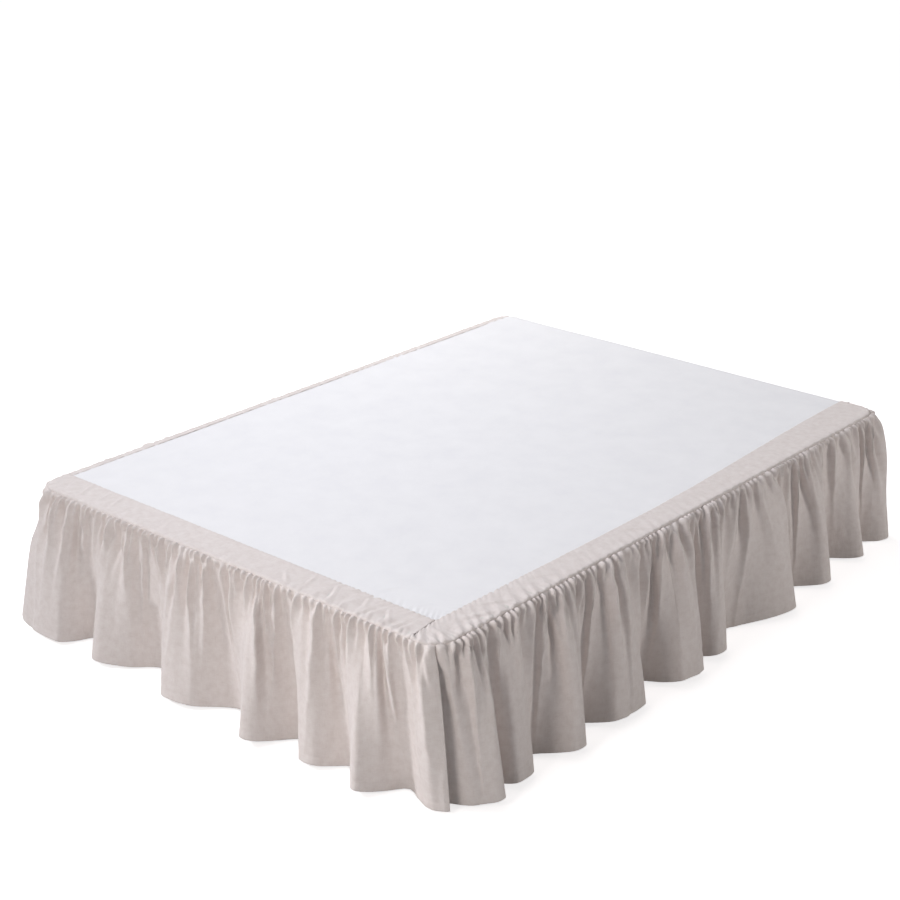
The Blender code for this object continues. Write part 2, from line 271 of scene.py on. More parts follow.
# Creases on the bands and the deck, by their places on the bed.
FOOT_BAND_CREASES = (
    Crease(-0.573, -0.832, -0.544, -0.912, 0.0029, 0.0052),
    Crease(-0.494, -0.838, -0.478, -0.914, 0.0026, 0.0048),
    Crease(-0.449, -0.840, -0.424, -0.916, 0.0029, 0.0050),
    Crease(-0.624, -0.850, -0.604, -0.902, 0.0022, 0.0044),
    Crease(-0.250, -0.850, -0.228, -0.912, 0.0017, 0.0048),
    Crease(0.168, -0.874, 0.214, -0.916, 0.0027, 0.0046),
    Crease(0.244, -0.848, 0.262, -0.914, 0.0026, 0.0042),
    Crease(0.318, -0.850, 0.352, -0.916, 0.0031, 0.0046),
    Crease(0.412, -0.846, 0.438, -0.900, 0.0024, 0.0042),
    Crease(0.486, -0.862, 0.530, -0.916, 0.0027, 0.0046),
)
NEAR_BAND_CREASES = (
    Crease(0.602, -0.862, 0.668, -0.884, 0.0027, 0.0060),
    Crease(0.628, -0.812, 0.676, -0.700, 0.0024, 0.0056),
    Crease(0.604, -0.740, 0.668, -0.640, 0.0020, 0.0050),
    Crease(0.612, -0.520, 0.672, -0.470, 0.0017, 0.0048),
    Crease(0.618, -0.180, 0.674, -0.120, 0.0017, 0.0050),
    Crease(0.600, 0.260, 0.668, 0.310, 0.0017, 0.0050),
)
DECK_CREASES = (
    Crease(0.260, -0.828, 0.292, -0.762, 0.0010, 0.0070),
    Crease(0.392, -0.828, 0.432, -0.748, 0.0011, 0.0075),
    Crease(0.502, -0.828, 0.544, -0.776, 0.0010, 0.0060),
)

QUARTER = math.pi / 2
FOOT_STRAIGHT = BED_WIDTH - 2 * CORNER_RADIUS
SIDE_STRAIGHT = BED_LENGTH - 2 * CORNER_RADIUS

RUFFLES = (
    Ruffle("ruffle_foot", (FAR_X, FOOT_Y), 0.0, 0.0, QUARTER / 2, FOOT_STRAIGHT,
           QUARTER / 2, 0.0, FOOT_FLUTES, 1.372, 0.064, FOOT_FOLDS, FOOT_CREASES,
           1.0, 11),
    Ruffle("ruffle_near_side", (NEAR_X, FOOT_Y), QUARTER, 0.0, QUARTER / 2, SIDE_STRAIGHT,
           QUARTER, HEAD_RETURN, NEAR_FLUTES, 1.970, 0.022, NEAR_FOLDS, NEAR_CREASES,
           1.0, 23),
    Ruffle("ruffle_far_side", (FAR_X, HEAD_Y), -QUARTER, HEAD_RETURN, QUARTER,
           SIDE_STRAIGHT, QUARTER / 2, 0.0, FAR_FLUTES, 1.972, 0.016, FAR_FOLDS,
           FAR_CREASES, 0.55, 37),
)

SEAM_BELOW_TOP = 0.0068
RUFFLE_CLOTH = 0.0008
BAND_CLOTH = 0.0009
BAND_RISE = 0.0004
DECK_CLOTH = 0.0004
DECK_BELOW = 0.0008
UNDER_LAP = 0.006
EDGE_ROLL = 0.0062
HEAD_ROLL = 0.0095
HEM_DEPTH = 0.022
FOLD_GAP = 0.0019
COLUMN_STEP = 0.0023
FOLD_LEAN = 0.40
CREST_SOFT = 5
CORNER_LAP = 0.011
LAP_REACH = 0.016
LAP_TUCK = 0.22
SHEET_STEP = 0.0045
BASE_CLEAR = 0.012
CLOTH_CLEAR = 0.0002
STITCH_PITCH = 0.0032
STITCH_LENGTH = 0.0024
STITCH_HALF = 0.00028
STITCH_SUNK = 0.00012
BAND_TUCK = 0.0022
TURN_TUCK = 0.0030

# How far folds stray sideways on the way down; where a gather's head bulges below the
# seam, how tall that bulge is and how far it rises; and two factors: one on the depth of
# the deep folds, one that turns the gathers' thin creases into thin ridges lower down.
WANDER = 0.0085
KNUCKLE_AT = 0.007
KNUCKLE_HALF = 0.0055
HEAD_RISE = 0.0028
FOLD_STRENGTH = 1.35
CREASE_TO_RIDGE = 1.35

# A level of folds in a ruffle: their pitch along the seam, how far they stand out, the
# share of the drop over which they rise and over which they fade, how far they are drawn
# together on the way down, and how sharp their ridges are (below zero: their creases).
FoldLevel = namedtuple("FoldLevel", "pitch rises fades drawn sharp")
GATHERS = FoldLevel(0.0185, 0.014, 0.150, 0.50, -0.60)
PLEATS = FoldLevel(0.0430, 0.045, 0.500, 0.60, 0.80)
FOLDS = FoldLevel(0.0950, 0.130, 0.780, 0.30, 0.60)


# ---------------------------------------------------------------------------------------
# Shaders
# ---------------------------------------------------------------------------------------

def add_node(tree, kind, settings=None, inputs=None):
    """Adds a shader node, sets its properties, and sets or links its inputs."""
    node = tree.nodes.new(kind)
    for name, value in (settings or {}).items():
        setattr(node, name, value)
    for name, value in (inputs or {}).items():
        if isinstance(value, bpy.types.NodeSocket):
            tree.links.new(value, node.inputs[name])
        else:
            node.inputs[name].default_value = value
    return node


def cloth_material(name, tones, thread, slub, blotch, weave_depth, roughness, sheen):
    """A plain-weave cloth on the cloth's own coordinates, which are in metres.

    tones are its light, middle and dark colours; thread, slub and blotch are the real
    sizes of a thread, of a thick place in a thread, and of a cloudy patch.
    """
    material = bpy.data.materials.new(name)
    material.use_nodes = True
    tree = material.node_tree
    shader = tree.nodes["Principled BSDF"]
    place = add_node(tree, "ShaderNodeUVMap", {"uv_map": "cloth"}).outputs["UV"]
    warp = add_node(tree, "ShaderNodeMapping", None,
                    {"Vector": place, "Scale": (1 / slub, 1 / (slub * 22), 1.0)})
    weft = add_node(tree, "ShaderNodeMapping", None,
                    {"Vector": place, "Scale": (1 / (slub * 18), 1 / slub, 1.0)})
    warp_slub = add_node(tree, "ShaderNodeTexNoise", None,
                         {"Vector": warp.outputs["Vector"], "Scale": 1.0, "Detail": 3.0})
    weft_slub = add_node(tree, "ShaderNodeTexNoise", None,
                         {"Vector": weft.outputs["Vector"], "Scale": 1.0, "Detail": 3.0})
    slubs = add_node(tree, "ShaderNodeMath", {"operation": "ADD"},
                     {0: warp_slub.outputs["Fac"], 1: weft_slub.outputs["Fac"]})
    cloud = add_node(tree, "ShaderNodeTexNoise", None,
                     {"Vector": place, "Scale": 1 / blotch, "Detail": 4.0,
                      "Roughness": 0.62})
    half_slubs = add_node(tree, "ShaderNodeMath", {"operation": "MULTIPLY"},
                          {0: slubs.outputs[0], 1: 0.5})
    tint = add_node(tree, "ShaderNodeMath", {"operation": "ADD"},
                    {0: half_slubs.outputs[0], 1: cloud.outputs["Fac"]})
    spread = add_node(tree, "ShaderNodeMapRange", None,
                      {"Value": tint.outputs[0], "From Min": 0.70, "From Max": 1.30})
    ramp = add_node(tree, "ShaderNodeValToRGB", None, {"Fac": spread.outputs["Result"]})
    ramp.color_ramp.elements[0].color = linear(tones[2])
    ramp.color_ramp.elements[1].color = linear(tones[0])
    ramp.color_ramp.elements.new(0.5).color = linear(tones[1])
    tree.links.new(ramp.outputs["Color"], shader.inputs["Base Color"])
    rough = add_node(tree, "ShaderNodeMapRange", None,
                     {"Value": slubs.outputs[0], "From Min": 0.6, "From Max": 1.4,
                      "To Min": roughness - 0.06, "To Max": roughness + 0.06})
    tree.links.new(rough.outputs["Result"], shader.inputs["Roughness"])
    # A sine band repeats every 0.314 of its scaled length, which is two threads here.
    waves = [add_node(tree, "ShaderNodeTexWave", {"bands_direction": axis},
                      {"Vector": place, "Scale": 0.31416 / (2 * thread),
                       "Distortion": 0.6, "Detail": 1.0, "Detail Scale": 2.0})
             for axis in ("X", "Y")]
    weave = add_node(tree, "ShaderNodeMath", {"operation": "MULTIPLY"},
                     {0: waves[0].outputs["Fac"], 1: waves[1].outputs["Fac"]})
    fine = add_node(tree, "ShaderNodeBump", None,
                    {"Height": weave.outputs[0], "Strength": 0.35,
                     "Distance": weave_depth})
    coarse = add_node(tree, "ShaderNodeBump", None,
                      {"Height": slubs.outputs[0], "Strength": 0.6,
                       "Distance": weave_depth * 3.0, "Normal": fine.outputs["Normal"]})
    tree.links.new(coarse.outputs["Normal"], shader.inputs["Normal"])
    shader.inputs["Sheen Weight"].default_value = sheen
    shader.inputs["Sheen Roughness"].default_value = 0.5
    shader.inputs["Specular IOR Level"].default_value = 0.18
    return material


def linen_material():
    """Washed linen and cotton, woven plain from uneven yarn.

    The thick places in the yarn give the streaks that run both ways, the washing gives
    the cloudy tone, and short fibres standing off it give the soft light edges.
    """
    return cloth_material("washed_linen_cotton_plain_weave",
                          ("#eae3df", "#e4dbd7", "#dbd1cc"),
                          0.00055, 0.0011, 0.020, 0.00018, 0.88, 0.12)


def sheeting_material():
    """White polycotton sheeting, closely woven and pressed, so it looks almost even."""
    return cloth_material("white_polycotton_sheeting",
                          ("#f4f3f4", "#f1f0f1", "#edecee"),
                          0.00030, 0.0007, 0.090, 0.00006, 0.80, 0.04)


def ticking_material():
    """Close cotton ticking in a warm off-white, which hides the wood of the base."""
    return cloth_material("close_cotton_ticking",
                          ("#e6e3de", "#dcd8d2", "#d1ccc5"),
                          0.00045, 0.0009, 0.050, 0.00012, 0.86, 0.08)


def piping_material():
    """Bias-cut ticking drawn tight over cord, in tones a little darker than the cover's
    ticking.
    """
    return cloth_material("bias_cut_piping_cloth",
                          ("#d6d0c6", "#c9c2b7", "#bab2a6"),
                          0.00045, 0.0008, 0.020, 0.00014, 0.84, 0.08)


def dust_cloth_material():
    """Grey bonded fibre cloth: the pressed fibres show as a faint felted speckle."""
    return cloth_material("grey_bonded_fibre_cloth",
                          ("#7d7c7c", "#6c6b6c", "#5c5b5d"),
                          0.00080, 0.0016, 0.012, 0.00010, 0.94, 0.03)


def thread_material():
    """Three-ply spun thread; its twist shows as a row of slanted lines, painted light and
    shade in its colour over a bump of the same twist.
    """
    material = bpy.data.materials.new("three_ply_spun_thread")
    material.use_nodes = True
    tree = material.node_tree
    shader = tree.nodes["Principled BSDF"]
    place = add_node(tree, "ShaderNodeTexCoord").outputs["Object"]
    twist = add_node(tree, "ShaderNodeTexWave", {"bands_direction": "DIAGONAL"},
                     {"Vector": place, "Scale": 0.31416 / 0.0006, "Distortion": 0.4})
    # Painted light and shade: the colour runs from dark in the twist's grooves to light on
    # its plies.
    ramp = add_node(tree, "ShaderNodeValToRGB", None, {"Fac": twist.outputs["Fac"]})
    ramp.color_ramp.elements[0].color = linear("#c4bbb6")
    ramp.color_ramp.elements[1].color = linear("#e2dbd6")
    tree.links.new(ramp.outputs["Color"], shader.inputs["Base Color"])
    bump = add_node(tree, "ShaderNodeBump", None,
                    {"Height": twist.outputs["Fac"], "Strength": 0.4,
                     "Distance": 0.0001})
    tree.links.new(bump.outputs["Normal"], shader.inputs["Normal"])
    shader.inputs["Roughness"].default_value = 0.6
    return material


def beech_material():
    """Turned beech under clear satin lacquer: straight grain with short dark flecks."""
    material = bpy.data.materials.new("lacquered_beech")
    material.use_nodes = True
    tree = material.node_tree
    shader = tree.nodes["Principled BSDF"]
    place = add_node(tree, "ShaderNodeTexCoord").outputs["Object"]
    # The grain runs up the leg: bands of about 6 mm, drawn out twentyfold.
    grain_place = add_node(tree, "ShaderNodeMapping", None,
                           {"Vector": place, "Scale": (160.0, 160.0, 8.0)})
    grain = add_node(tree, "ShaderNodeTexNoise", None,
                     {"Vector": grain_place.outputs["Vector"], "Scale": 1.0,
                      "Detail": 5.0, "Distortion": 0.5})
    # Rays show as flecks of about 0.6 mm by 4 mm.
    fleck_place = add_node(tree, "ShaderNodeMapping", None,
                           {"Vector": place, "Scale": (1600.0, 1600.0, 250.0)})
    fleck = add_node(tree, "ShaderNodeTexNoise", None,
                     {"Vector": fleck_place.outputs["Vector"], "Scale": 1.0,
                      "Detail": 1.0})
    ramp = add_node(tree, "ShaderNodeValToRGB", None, {"Fac": grain.outputs["Fac"]})
    ramp.color_ramp.elements[0].position = 0.32
    ramp.color_ramp.elements[0].color = linear("#b98f66")
    ramp.color_ramp.elements[1].position = 0.68
    ramp.color_ramp.elements[1].color = linear("#d9b88f")
    dark = add_node(tree, "ShaderNodeMapRange", None,
                    {"Value": fleck.outputs["Fac"], "From Min": 0.60, "From Max": 0.70})
    mix = add_node(tree, "ShaderNodeMix", {"data_type": "RGBA"},
                   {0: dark.outputs["Result"], 6: ramp.outputs["Color"],
                    7: linear("#97704a")})
    tree.links.new(mix.outputs[2], shader.inputs["Base Color"])
    bump = add_node(tree, "ShaderNodeBump", None,
                    {"Height": grain.outputs["Fac"], "Strength": 0.25,
                     "Distance": 0.0003})
    tree.links.new(bump.outputs["Normal"], shader.inputs["Normal"])
    shader.inputs["Roughness"].default_value = 0.38
    shader.inputs["Coat Weight"].default_value = 0.35
    shader.inputs["Coat Roughness"].default_value = 0.22
    return material


def floor_material():
    """Matt white studio paper with the faint cloud of its own fibres."""
    material = bpy.data.materials.new("matt_studio_paper")
    material.use_nodes = True
    tree = material.node_tree
    shader = tree.nodes["Principled BSDF"]
    place = add_node(tree, "ShaderNodeTexCoord").outputs["Object"]
    cloud = add_node(tree, "ShaderNodeTexNoise", None,
                     {"Vector": place, "Scale": 3.0, "Detail": 4.0})
    ramp = add_node(tree, "ShaderNodeValToRGB", None, {"Fac": cloud.outputs["Fac"]})
    ramp.color_ramp.elements[0].color = linear("#dcdcdc")
    ramp.color_ramp.elements[1].color = linear("#e0e0e0")
    tree.links.new(ramp.outputs["Color"], shader.inputs["Base Color"])
    shader.inputs["Emission Color"].default_value = linear("#fffdfd")
    # The paper glows for the eye alone, and lends no light to the cloth.
    seen = add_node(tree, "ShaderNodeLightPath").outputs["Is Camera Ray"]
    glow = add_node(tree, "ShaderNodeMapRange", None,
                    {"Value": seen, "To Min": 0.0, "To Max": 0.74})
    tree.links.new(glow.outputs["Result"], shader.inputs["Emission Strength"])
    shader.inputs["Roughness"].default_value = 0.95
    shader.inputs["Specular IOR Level"].default_value = 0.05
    return material


def kept_material(name, make):
    """A material by name, made the first time that it is asked for."""
    return bpy.data.materials.get(name) or make()


# ---------------------------------------------------------------------------------------
# Meshes
# ---------------------------------------------------------------------------------------

def ease(share):
    """A soft run from 0 to 1, level at both ends."""
    return 0.5 - 0.5 * np.cos(np.pi * np.clip(share, 0.0, 1.0))


def grid_object(name, points, flat, material, thickness=0.0, closed=False):
    """A smooth sheet from a grid of points, with its flat cloth coordinates as UVs.

    The sheet's face is on the side of (down the rows) x (along the columns), and its
    thickness goes behind it. A closed grid joins its last column to its first.
    """
    rows, columns = points.shape[:2]
    index = np.arange(rows * columns).reshape(rows, columns)
    right = np.roll(index, -1, axis=1) if closed else index[:, 1:]
    left = index if closed else index[:, :-1]
    quads = np.stack([left[:-1], left[1:], right[1:], right[:-1]], -1).reshape(-1, 4)
    mesh = bpy.data.meshes.new(name)
    mesh.vertices.add(rows * columns)
    mesh.vertices.foreach_set("co", points.reshape(-1).astype(np.float32))
    mesh.loops.add(quads.size)
    mesh.loops.foreach_set("vertex_index", quads.reshape(-1).astype(np.int32))
    mesh.polygons.add(len(quads))
    mesh.polygons.foreach_set("loop_start", np.arange(0, quads.size, 4, dtype=np.int32))
    mesh.polygons.foreach_set("use_smooth", np.ones(len(quads), dtype=bool))
    layer = mesh.uv_layers.new(name="cloth")
    places = flat.reshape(-1, 2)[quads.reshape(-1)]
    layer.data.foreach_set("uv", places.reshape(-1).astype(np.float32))
    mesh.update(calc_edges=True)
    mesh.validate()
    mesh.materials.append(material)
    made = bpy.data.objects.new(name, mesh)
    bpy.context.collection.objects.link(made)
    if thickness:
        solid = made.modifiers.new("thickness", "SOLIDIFY")
        solid.thickness = thickness
        solid.offset = -1.0
    return made


def out_of(points):
    """Unit normals of a grid of points, on the face of the sheet."""
    down = np.gradient(points, axis=0)
    across = np.gradient(points, axis=1)
    normal = np.cross(down, across)
    return normal / np.maximum(np.linalg.norm(normal, axis=-1, keepdims=True), 1e-12)


def path_length(points):
    """Length along a line of points, at each of them."""
    steps = np.linalg.norm(np.diff(points, axis=0), axis=-1)
    return np.concatenate([[0.0], np.cumsum(steps)])


def soft_noise(rng, u, v, cell_u, cell_v):
    """Smooth values of about -1 to 1 over a grid, with bumps of the size of the cells."""
    cells = rng.uniform(-1, 1, (int(np.max(v) / cell_v) + 3, int(np.max(u) / cell_u) + 3))
    at_u, at_v = np.maximum(u / cell_u, 0.0), np.maximum(v / cell_v, 0.0)
    low_u, low_v = at_u.astype(int), at_v.astype(int)
    part_u, part_v = ease(at_u - low_u), ease(at_v - low_v)
    top = cells[low_v, low_u] * (1 - part_u) + cells[low_v, low_u + 1] * part_u
    low = cells[low_v + 1, low_u] * (1 - part_u) + cells[low_v + 1, low_u + 1] * part_u
    return top * (1 - part_v) + low * part_v


def uneven_turns(rng, length, pitch, at):
    """How many waves lie before each place, where no two waves are equally long."""
    widths = np.clip(rng.normal(1.0, 0.30, int(length / pitch) + 3), 0.45, 1.9)
    edges = np.concatenate([[0.0], np.cumsum(widths)]) * pitch
    return np.interp(at, edges, np.arange(len(edges)))


def crease_height(crease, u, v):
    """Height of one pressed crease over places on the flat cloth."""
    run_u, run_v = crease.to_u - crease.from_u, crease.to_v - crease.from_v
    length = math.hypot(run_u, run_v)
    along = ((u - crease.from_u) * run_u + (v - crease.from_v) * run_v) / length ** 2
    aside = ((u - crease.from_u) * run_v - (v - crease.from_v) * run_u) / length
    ends = np.sin(np.pi * np.clip(along, 0.0, 1.0)) ** 0.7
    beside = aside / crease.width
    return crease.height * ends * (np.exp(-beside ** 2)
                                   - 0.45 * np.exp(-((beside - 1.8) / 1.3) ** 2))


# ---------------------------------------------------------------------------------------
# Ruffles
# ---------------------------------------------------------------------------------------

def seam_course(ruffle, along):
    """Places on a ruffle's seam as arrays of x, y, outward x and outward y."""
    radius = CORNER_RADIUS
    lead_in = ruffle.start_return + radius * ruffle.start_arc
    run_out = lead_in + ruffle.straight
    before, after = along < lead_in, along > run_out
    rest = np.where(before, np.minimum(along - ruffle.start_return, 0.0), 0.0)
    turned = np.where(before, (along - rest - lead_in) / radius, 0.0)
    end_turn = np.minimum((along - run_out) / radius, ruffle.end_arc)
    turned = np.where(after, end_turn, turned)
    rest = np.where(after, along - run_out - turned * radius, rest)
    centre_x = np.where(before, radius, np.where(after, radius + ruffle.straight,
                                                 along - lead_in + radius))
    out_x, out_y = np.sin(turned), -np.cos(turned)
    x = centre_x + radius * out_x - out_y * rest
    y = radius + radius * out_y + out_x * rest
    return x, y, out_x, out_y


def in_frame(ruffle, x, y):
    """A ruffle's own x and y as x and y of the bed."""
    turn_x, turn_y = math.cos(ruffle.turn), math.sin(ruffle.turn)
    return (ruffle.place[0] + turn_x * x - turn_y * y,
            ruffle.place[1] + turn_y * x + turn_x * y)


def hem_course(ruffle, steps=24):
    """The hem as arrays of along, out and its own length so far."""
    share = np.arange(steps) / steps
    rise = 0.65 * ease(share) + 0.35 * (1 - np.cos(np.pi / 2 * share))
    sink = 0.65 * ease(share) + 0.35 * np.sin(np.pi / 2 * share)
    along, out = [], []
    flutes = ruffle.flutes
    valleys = [(flute.valley_at, flute.valley_out) for flute in flutes[1:]]
    for flute, after in zip(flutes, valleys + [(ruffle.end_at, ruffle.end_out)]):
        along.append(flute.valley_at + (flute.crest_from - flute.valley_at) * share)
        out.append(flute.valley_out + (flute.crest_out - flute.valley_out) * rise)
        along.append(flute.crest_from + (flute.crest_to - flute.crest_from) * share)
        out.append(flute.crest_out + CREST_BULGE * np.sin(np.pi * share))
        along.append(flute.crest_to + (after[0] - flute.crest_to) * share)
        out.append(flute.crest_out + (after[1] - flute.crest_out) * sink)
    along = np.append(np.concatenate(along), ruffle.end_at)
    out = np.append(np.concatenate(out), ruffle.end_out)
    x, y, out_x, out_y = seam_course(ruffle, along)
    line = np.stack([x + out_x * out, y + out_y * out], -1)
    return along, out, path_length(line)


def seam_length(ruffle):
    """Length of a ruffle's seam, from one split or end to the other."""
    turned = (ruffle.start_arc + ruffle.end_arc) * CORNER_RADIUS
    return ruffle.start_return + turned + ruffle.straight + ruffle.end_return


def nested_ridges(rng, length):
    """Ridge lines of gathers, pleats and folds, each level's in bunches of the one above.

    Every level is (places, the place that each is drawn towards), as shares of the cloth.
    """
    count = int(length / GATHERS.pitch)
    widths = np.clip(rng.normal(1.0, 0.42, count), 0.45, 2.2)
    edges = np.concatenate([[0.0], np.cumsum(widths)])
    levels = [(edges[:-1] + edges[1:]) / 2 / edges[-1]]
    for sizes in ((2, 3, 3), (2, 2, 3)):
        above, bunches, start = levels[-1], [], 0
        while start < len(above):
            size = int(rng.choice(sizes))
            bunches.append((start, min(start + size, len(above))))
            start += size
        levels.append(np.array([above[low:high].mean() for low, high in bunches]))
    drawn = []
    for number, places in enumerate(levels):
        parents = levels[min(number + 1, len(levels) - 1)]
        nearest = np.abs(places[:, None] - parents[None, :]).argmin(axis=1)
        drawn.append((places, parents[nearest]))
    return drawn


def fold_turns(level, ridges, cloth, low):
    """How many folds of a level lie before each place of the cloth, at one height."""
    places, parents = ridges
    pull = level.drawn * float(ease(low / (2.2 * level.fades)))
    at = places + (parents - places) * pull
    at = np.concatenate([[2 * at[0] - at[1] - 1e-4], at, [2 * at[-1] - at[-2] + 1e-4]])
    return np.interp(cloth, at, np.arange(-1, len(places) + 1))


def ridge_wave(turns, sharp):
    """A wave of folds with thin ridges (sharp above 0) or thin creases (below 0)."""
    across = np.sin(np.pi * turns) if sharp > 0 else np.cos(np.pi * turns)
    thin = np.sign(sharp) * (1 - 2 * np.sqrt(across ** 2 + 0.006))
    return (1 - abs(sharp)) * np.cos(2 * np.pi * turns) + abs(sharp) * thin


def fold_relief(rng, level, stand, ridges, cloth, fall, wander):
    """How far a level of folds stands out, over the rows of fall and the cloth's width."""
    number = np.arange(-1, len(ridges[0]) + 1)
    stands = rng.uniform(0.60, 1.50, len(number)) * stand
    lasts = rng.uniform(0.50, 1.55, len(number)) * level.fades
    relief = np.zeros((len(fall), len(cloth)))
    for row, low in enumerate(fall):
        turns = fold_turns(level, ridges, cloth + wander[row], low)
        turned = 0.0 if level.sharp > 0 else CREASE_TO_RIDGE * min(low / 0.08, 1.0)
        sharp = level.sharp + turned
        lean = FOLD_LEAN * min(low / 0.10, 1.0)
        leaning = turns + lean * np.cos(2 * np.pi * turns) / math.tau
        wave = ridge_wave(leaning, sharp)
        rise = 1.0 - math.exp(-(low / level.rises) ** 2)
        if level is GATHERS:
            rise = 0.32 + 0.68 * rise
        last = np.interp(turns, number, lasts)
        relief[row] = np.interp(turns, number, stands) * rise * np.exp(-(low / last) ** 2)
        relief[row] *= wave
    return relief


def deep_folds(ruffle, width, length, cloth_u, fall):
    """Listed folds: a narrow trough between two raised lips."""
    relief = np.zeros(np.broadcast(cloth_u, fall).shape)
    for fold in ruffle.folds:
        centre = fold.seam_at / length * width + fold.drift * ease(fall / fold.reach)
        half = fold.width * (0.75 + 0.9 * fall / fold.reach)
        beside = (cloth_u - centre) / half
        starts = 0.35 + 0.65 * ease(fall / 0.06)
        deep = FOLD_STRENGTH * fold.depth * np.exp(-(fall / fold.reach) ** 4) * starts
        lips = np.exp(-((np.abs(beside) - 1.7) / 0.8) ** 2)
        relief += deep * (0.45 * lips - np.exp(-beside ** 2))
    return relief


def fall_rows():
    """Shares of the drop for the rows of a ruffle: close under the seam and at the hem."""
    seam = np.array([0.0, 0.006, 0.013, 0.021, 0.030, 0.041, 0.054, 0.069, 0.086])
    hem = 1.0 - HEM_DEPTH / RUFFLE_DROP
    body = np.linspace(0.105, hem - 0.016, 27)
    return np.concatenate([seam, body, [hem - 0.005, hem, hem + 0.005, 0.972, 0.990, 1.0]])


def smoothed(values, half):
    """A line of values rounded off over a few of its neighbours, its ends kept."""
    weights = np.exp(-np.linspace(-2, 2, 2 * half + 1) ** 2)
    padded = np.concatenate([2 * values[0] - values[half:0:-1], values,
                             2 * values[-1] - values[-2:-half - 2:-1]])
    return np.convolve(padded, weights / weights.sum(), mode="valid")


def ruffle_sheet(ruffle, settings):
    """A ruffle's face, its flat cloth coordinates, its cloth's width, its rows of fall."""
    rng = np.random.default_rng(ruffle.seed)
    along, out, used = hem_course(ruffle)
    length, width = seam_length(ruffle), used[-1]
    cloth = np.linspace(0.0, 1.0, int(length / COLUMN_STEP))
    rows = fall_rows()
    fall = rows[:, None]
    hem_along = smoothed(np.interp(cloth * width, used, along), CREST_SOFT)
    hem_out = smoothed(np.interp(cloth * width, used, out), CREST_SOFT)
    seam_along = SPLIT_HALF + (length - 2 * SPLIT_HALF) * cloth
    reach = np.hypot(hem_out, hem_along - seam_along)
    hem_z = TOP_Z - HEM_SEAM_BELOW - np.sqrt(RUFFLE_DROP ** 2 - reach ** 2)
    puff = GATHER_PUFF * (1 - np.exp(-fall * RUFFLE_DROP / PUFF_HEIGHT)) * (1 - fall)
    swing = np.where(hem_out > 0, fall ** SWING_POWER, fall ** TUCK_POWER)
    stand = SEAM_OUT + hem_out * swing + puff
    run = seam_along + (hem_along - seam_along) * fall ** SLIP_POWER
    if ruffle.name != "ruffle_foot":
        near_split = cloth if ruffle.turn > 0 else 1 - cloth
        lapped = CORNER_LAP * np.exp(-(near_split * width / LAP_REACH) ** 2)
        run = run - np.sign(ruffle.turn) * lapped
        stand = stand - LAP_TUCK * lapped * (1 - fall)
    x, y, out_x, out_y = seam_course(ruffle, run)
    x, y = in_frame(ruffle, x + out_x * stand, y + out_y * stand)
    seam_z = TOP_Z - SEAM_BELOW_TOP
    points = np.stack([x, y, seam_z + (hem_z - seam_z) * fall], -1)

    ridges = nested_ridges(rng, length)
    stands = (ruffle.crimp * settings.gather_stand, settings.pleat_stand,
              settings.fold_stand)
    relief = np.zeros((len(rows), len(cloth)))
    u, v = cloth[None, :] * width, fall * RUFFLE_DROP
    wander = (WANDER * soft_noise(rng, u + 0 * v, v + 0 * u, 0.052, 0.036)
              * ease(v / 0.030) * (1 - 0.6 * ease(v / 0.160))) / width
    for level, tall, places in zip((GATHERS, PLEATS, FOLDS), stands, ridges):
        relief += fold_relief(rng, level, tall, places, cloth, rows, wander)
    relief += deep_folds(ruffle, width, length, u, fall)
    knuckle = np.exp(-((v - KNUCKLE_AT) / KNUCKLE_HALF) ** 2)
    turns = fold_turns(GATHERS, ridges[0], cloth, 0.0)
    heads = 0.5 + 0.5 * ridge_wave(turns, -0.4)
    heads *= np.interp(turns, np.arange(-1, len(ridges[0][0]) + 1),
                       rng.uniform(0.15, 1.35, len(ridges[0][0]) + 2))
    relief += ruffle.crimp * settings.head_stand * knuckle * heads
    for crease in ruffle.creases:
        relief += crease_height(crease, u, v)
    lower = ease(fall / 0.25)
    relief += 0.0011 * lower * soft_noise(rng, u + 0 * v, v + 0 * u, 0.034, 0.120)
    relief += 0.0005 * lower * soft_noise(rng, u + 0 * v, v + 0 * u, 0.015, 0.042)
    hem_line = (v - (RUFFLE_DROP - HEM_DEPTH)) / 0.0016
    relief -= 0.0005 * np.exp(-hem_line ** 2)
    pucker = np.cos(2 * np.pi * uneven_turns(rng, width, 0.011, cloth * width))
    relief += 0.00015 * pucker * ease((v - RUFFLE_DROP + 2 * HEM_DEPTH) / HEM_DEPTH)
    beside_base = points[..., 2] > BASE_LOW[2] - BASE_CLEAR
    relief = np.where(beside_base, np.maximum(relief, CLOTH_CLEAR - stand), relief)
    normal = out_of(points)
    points = points + normal * relief[..., None]
    head_rise = HEAD_RISE * ruffle.crimp * heads
    points[..., 2] += head_rise * np.exp(-((v - 0.004) / 0.0045) ** 2)
    points[..., 2] += 0.0002 * pucker * (v > RUFFLE_DROP - 0.002)
    return points, np.stack(np.broadcast_arrays(u, -v), -1), width, rows


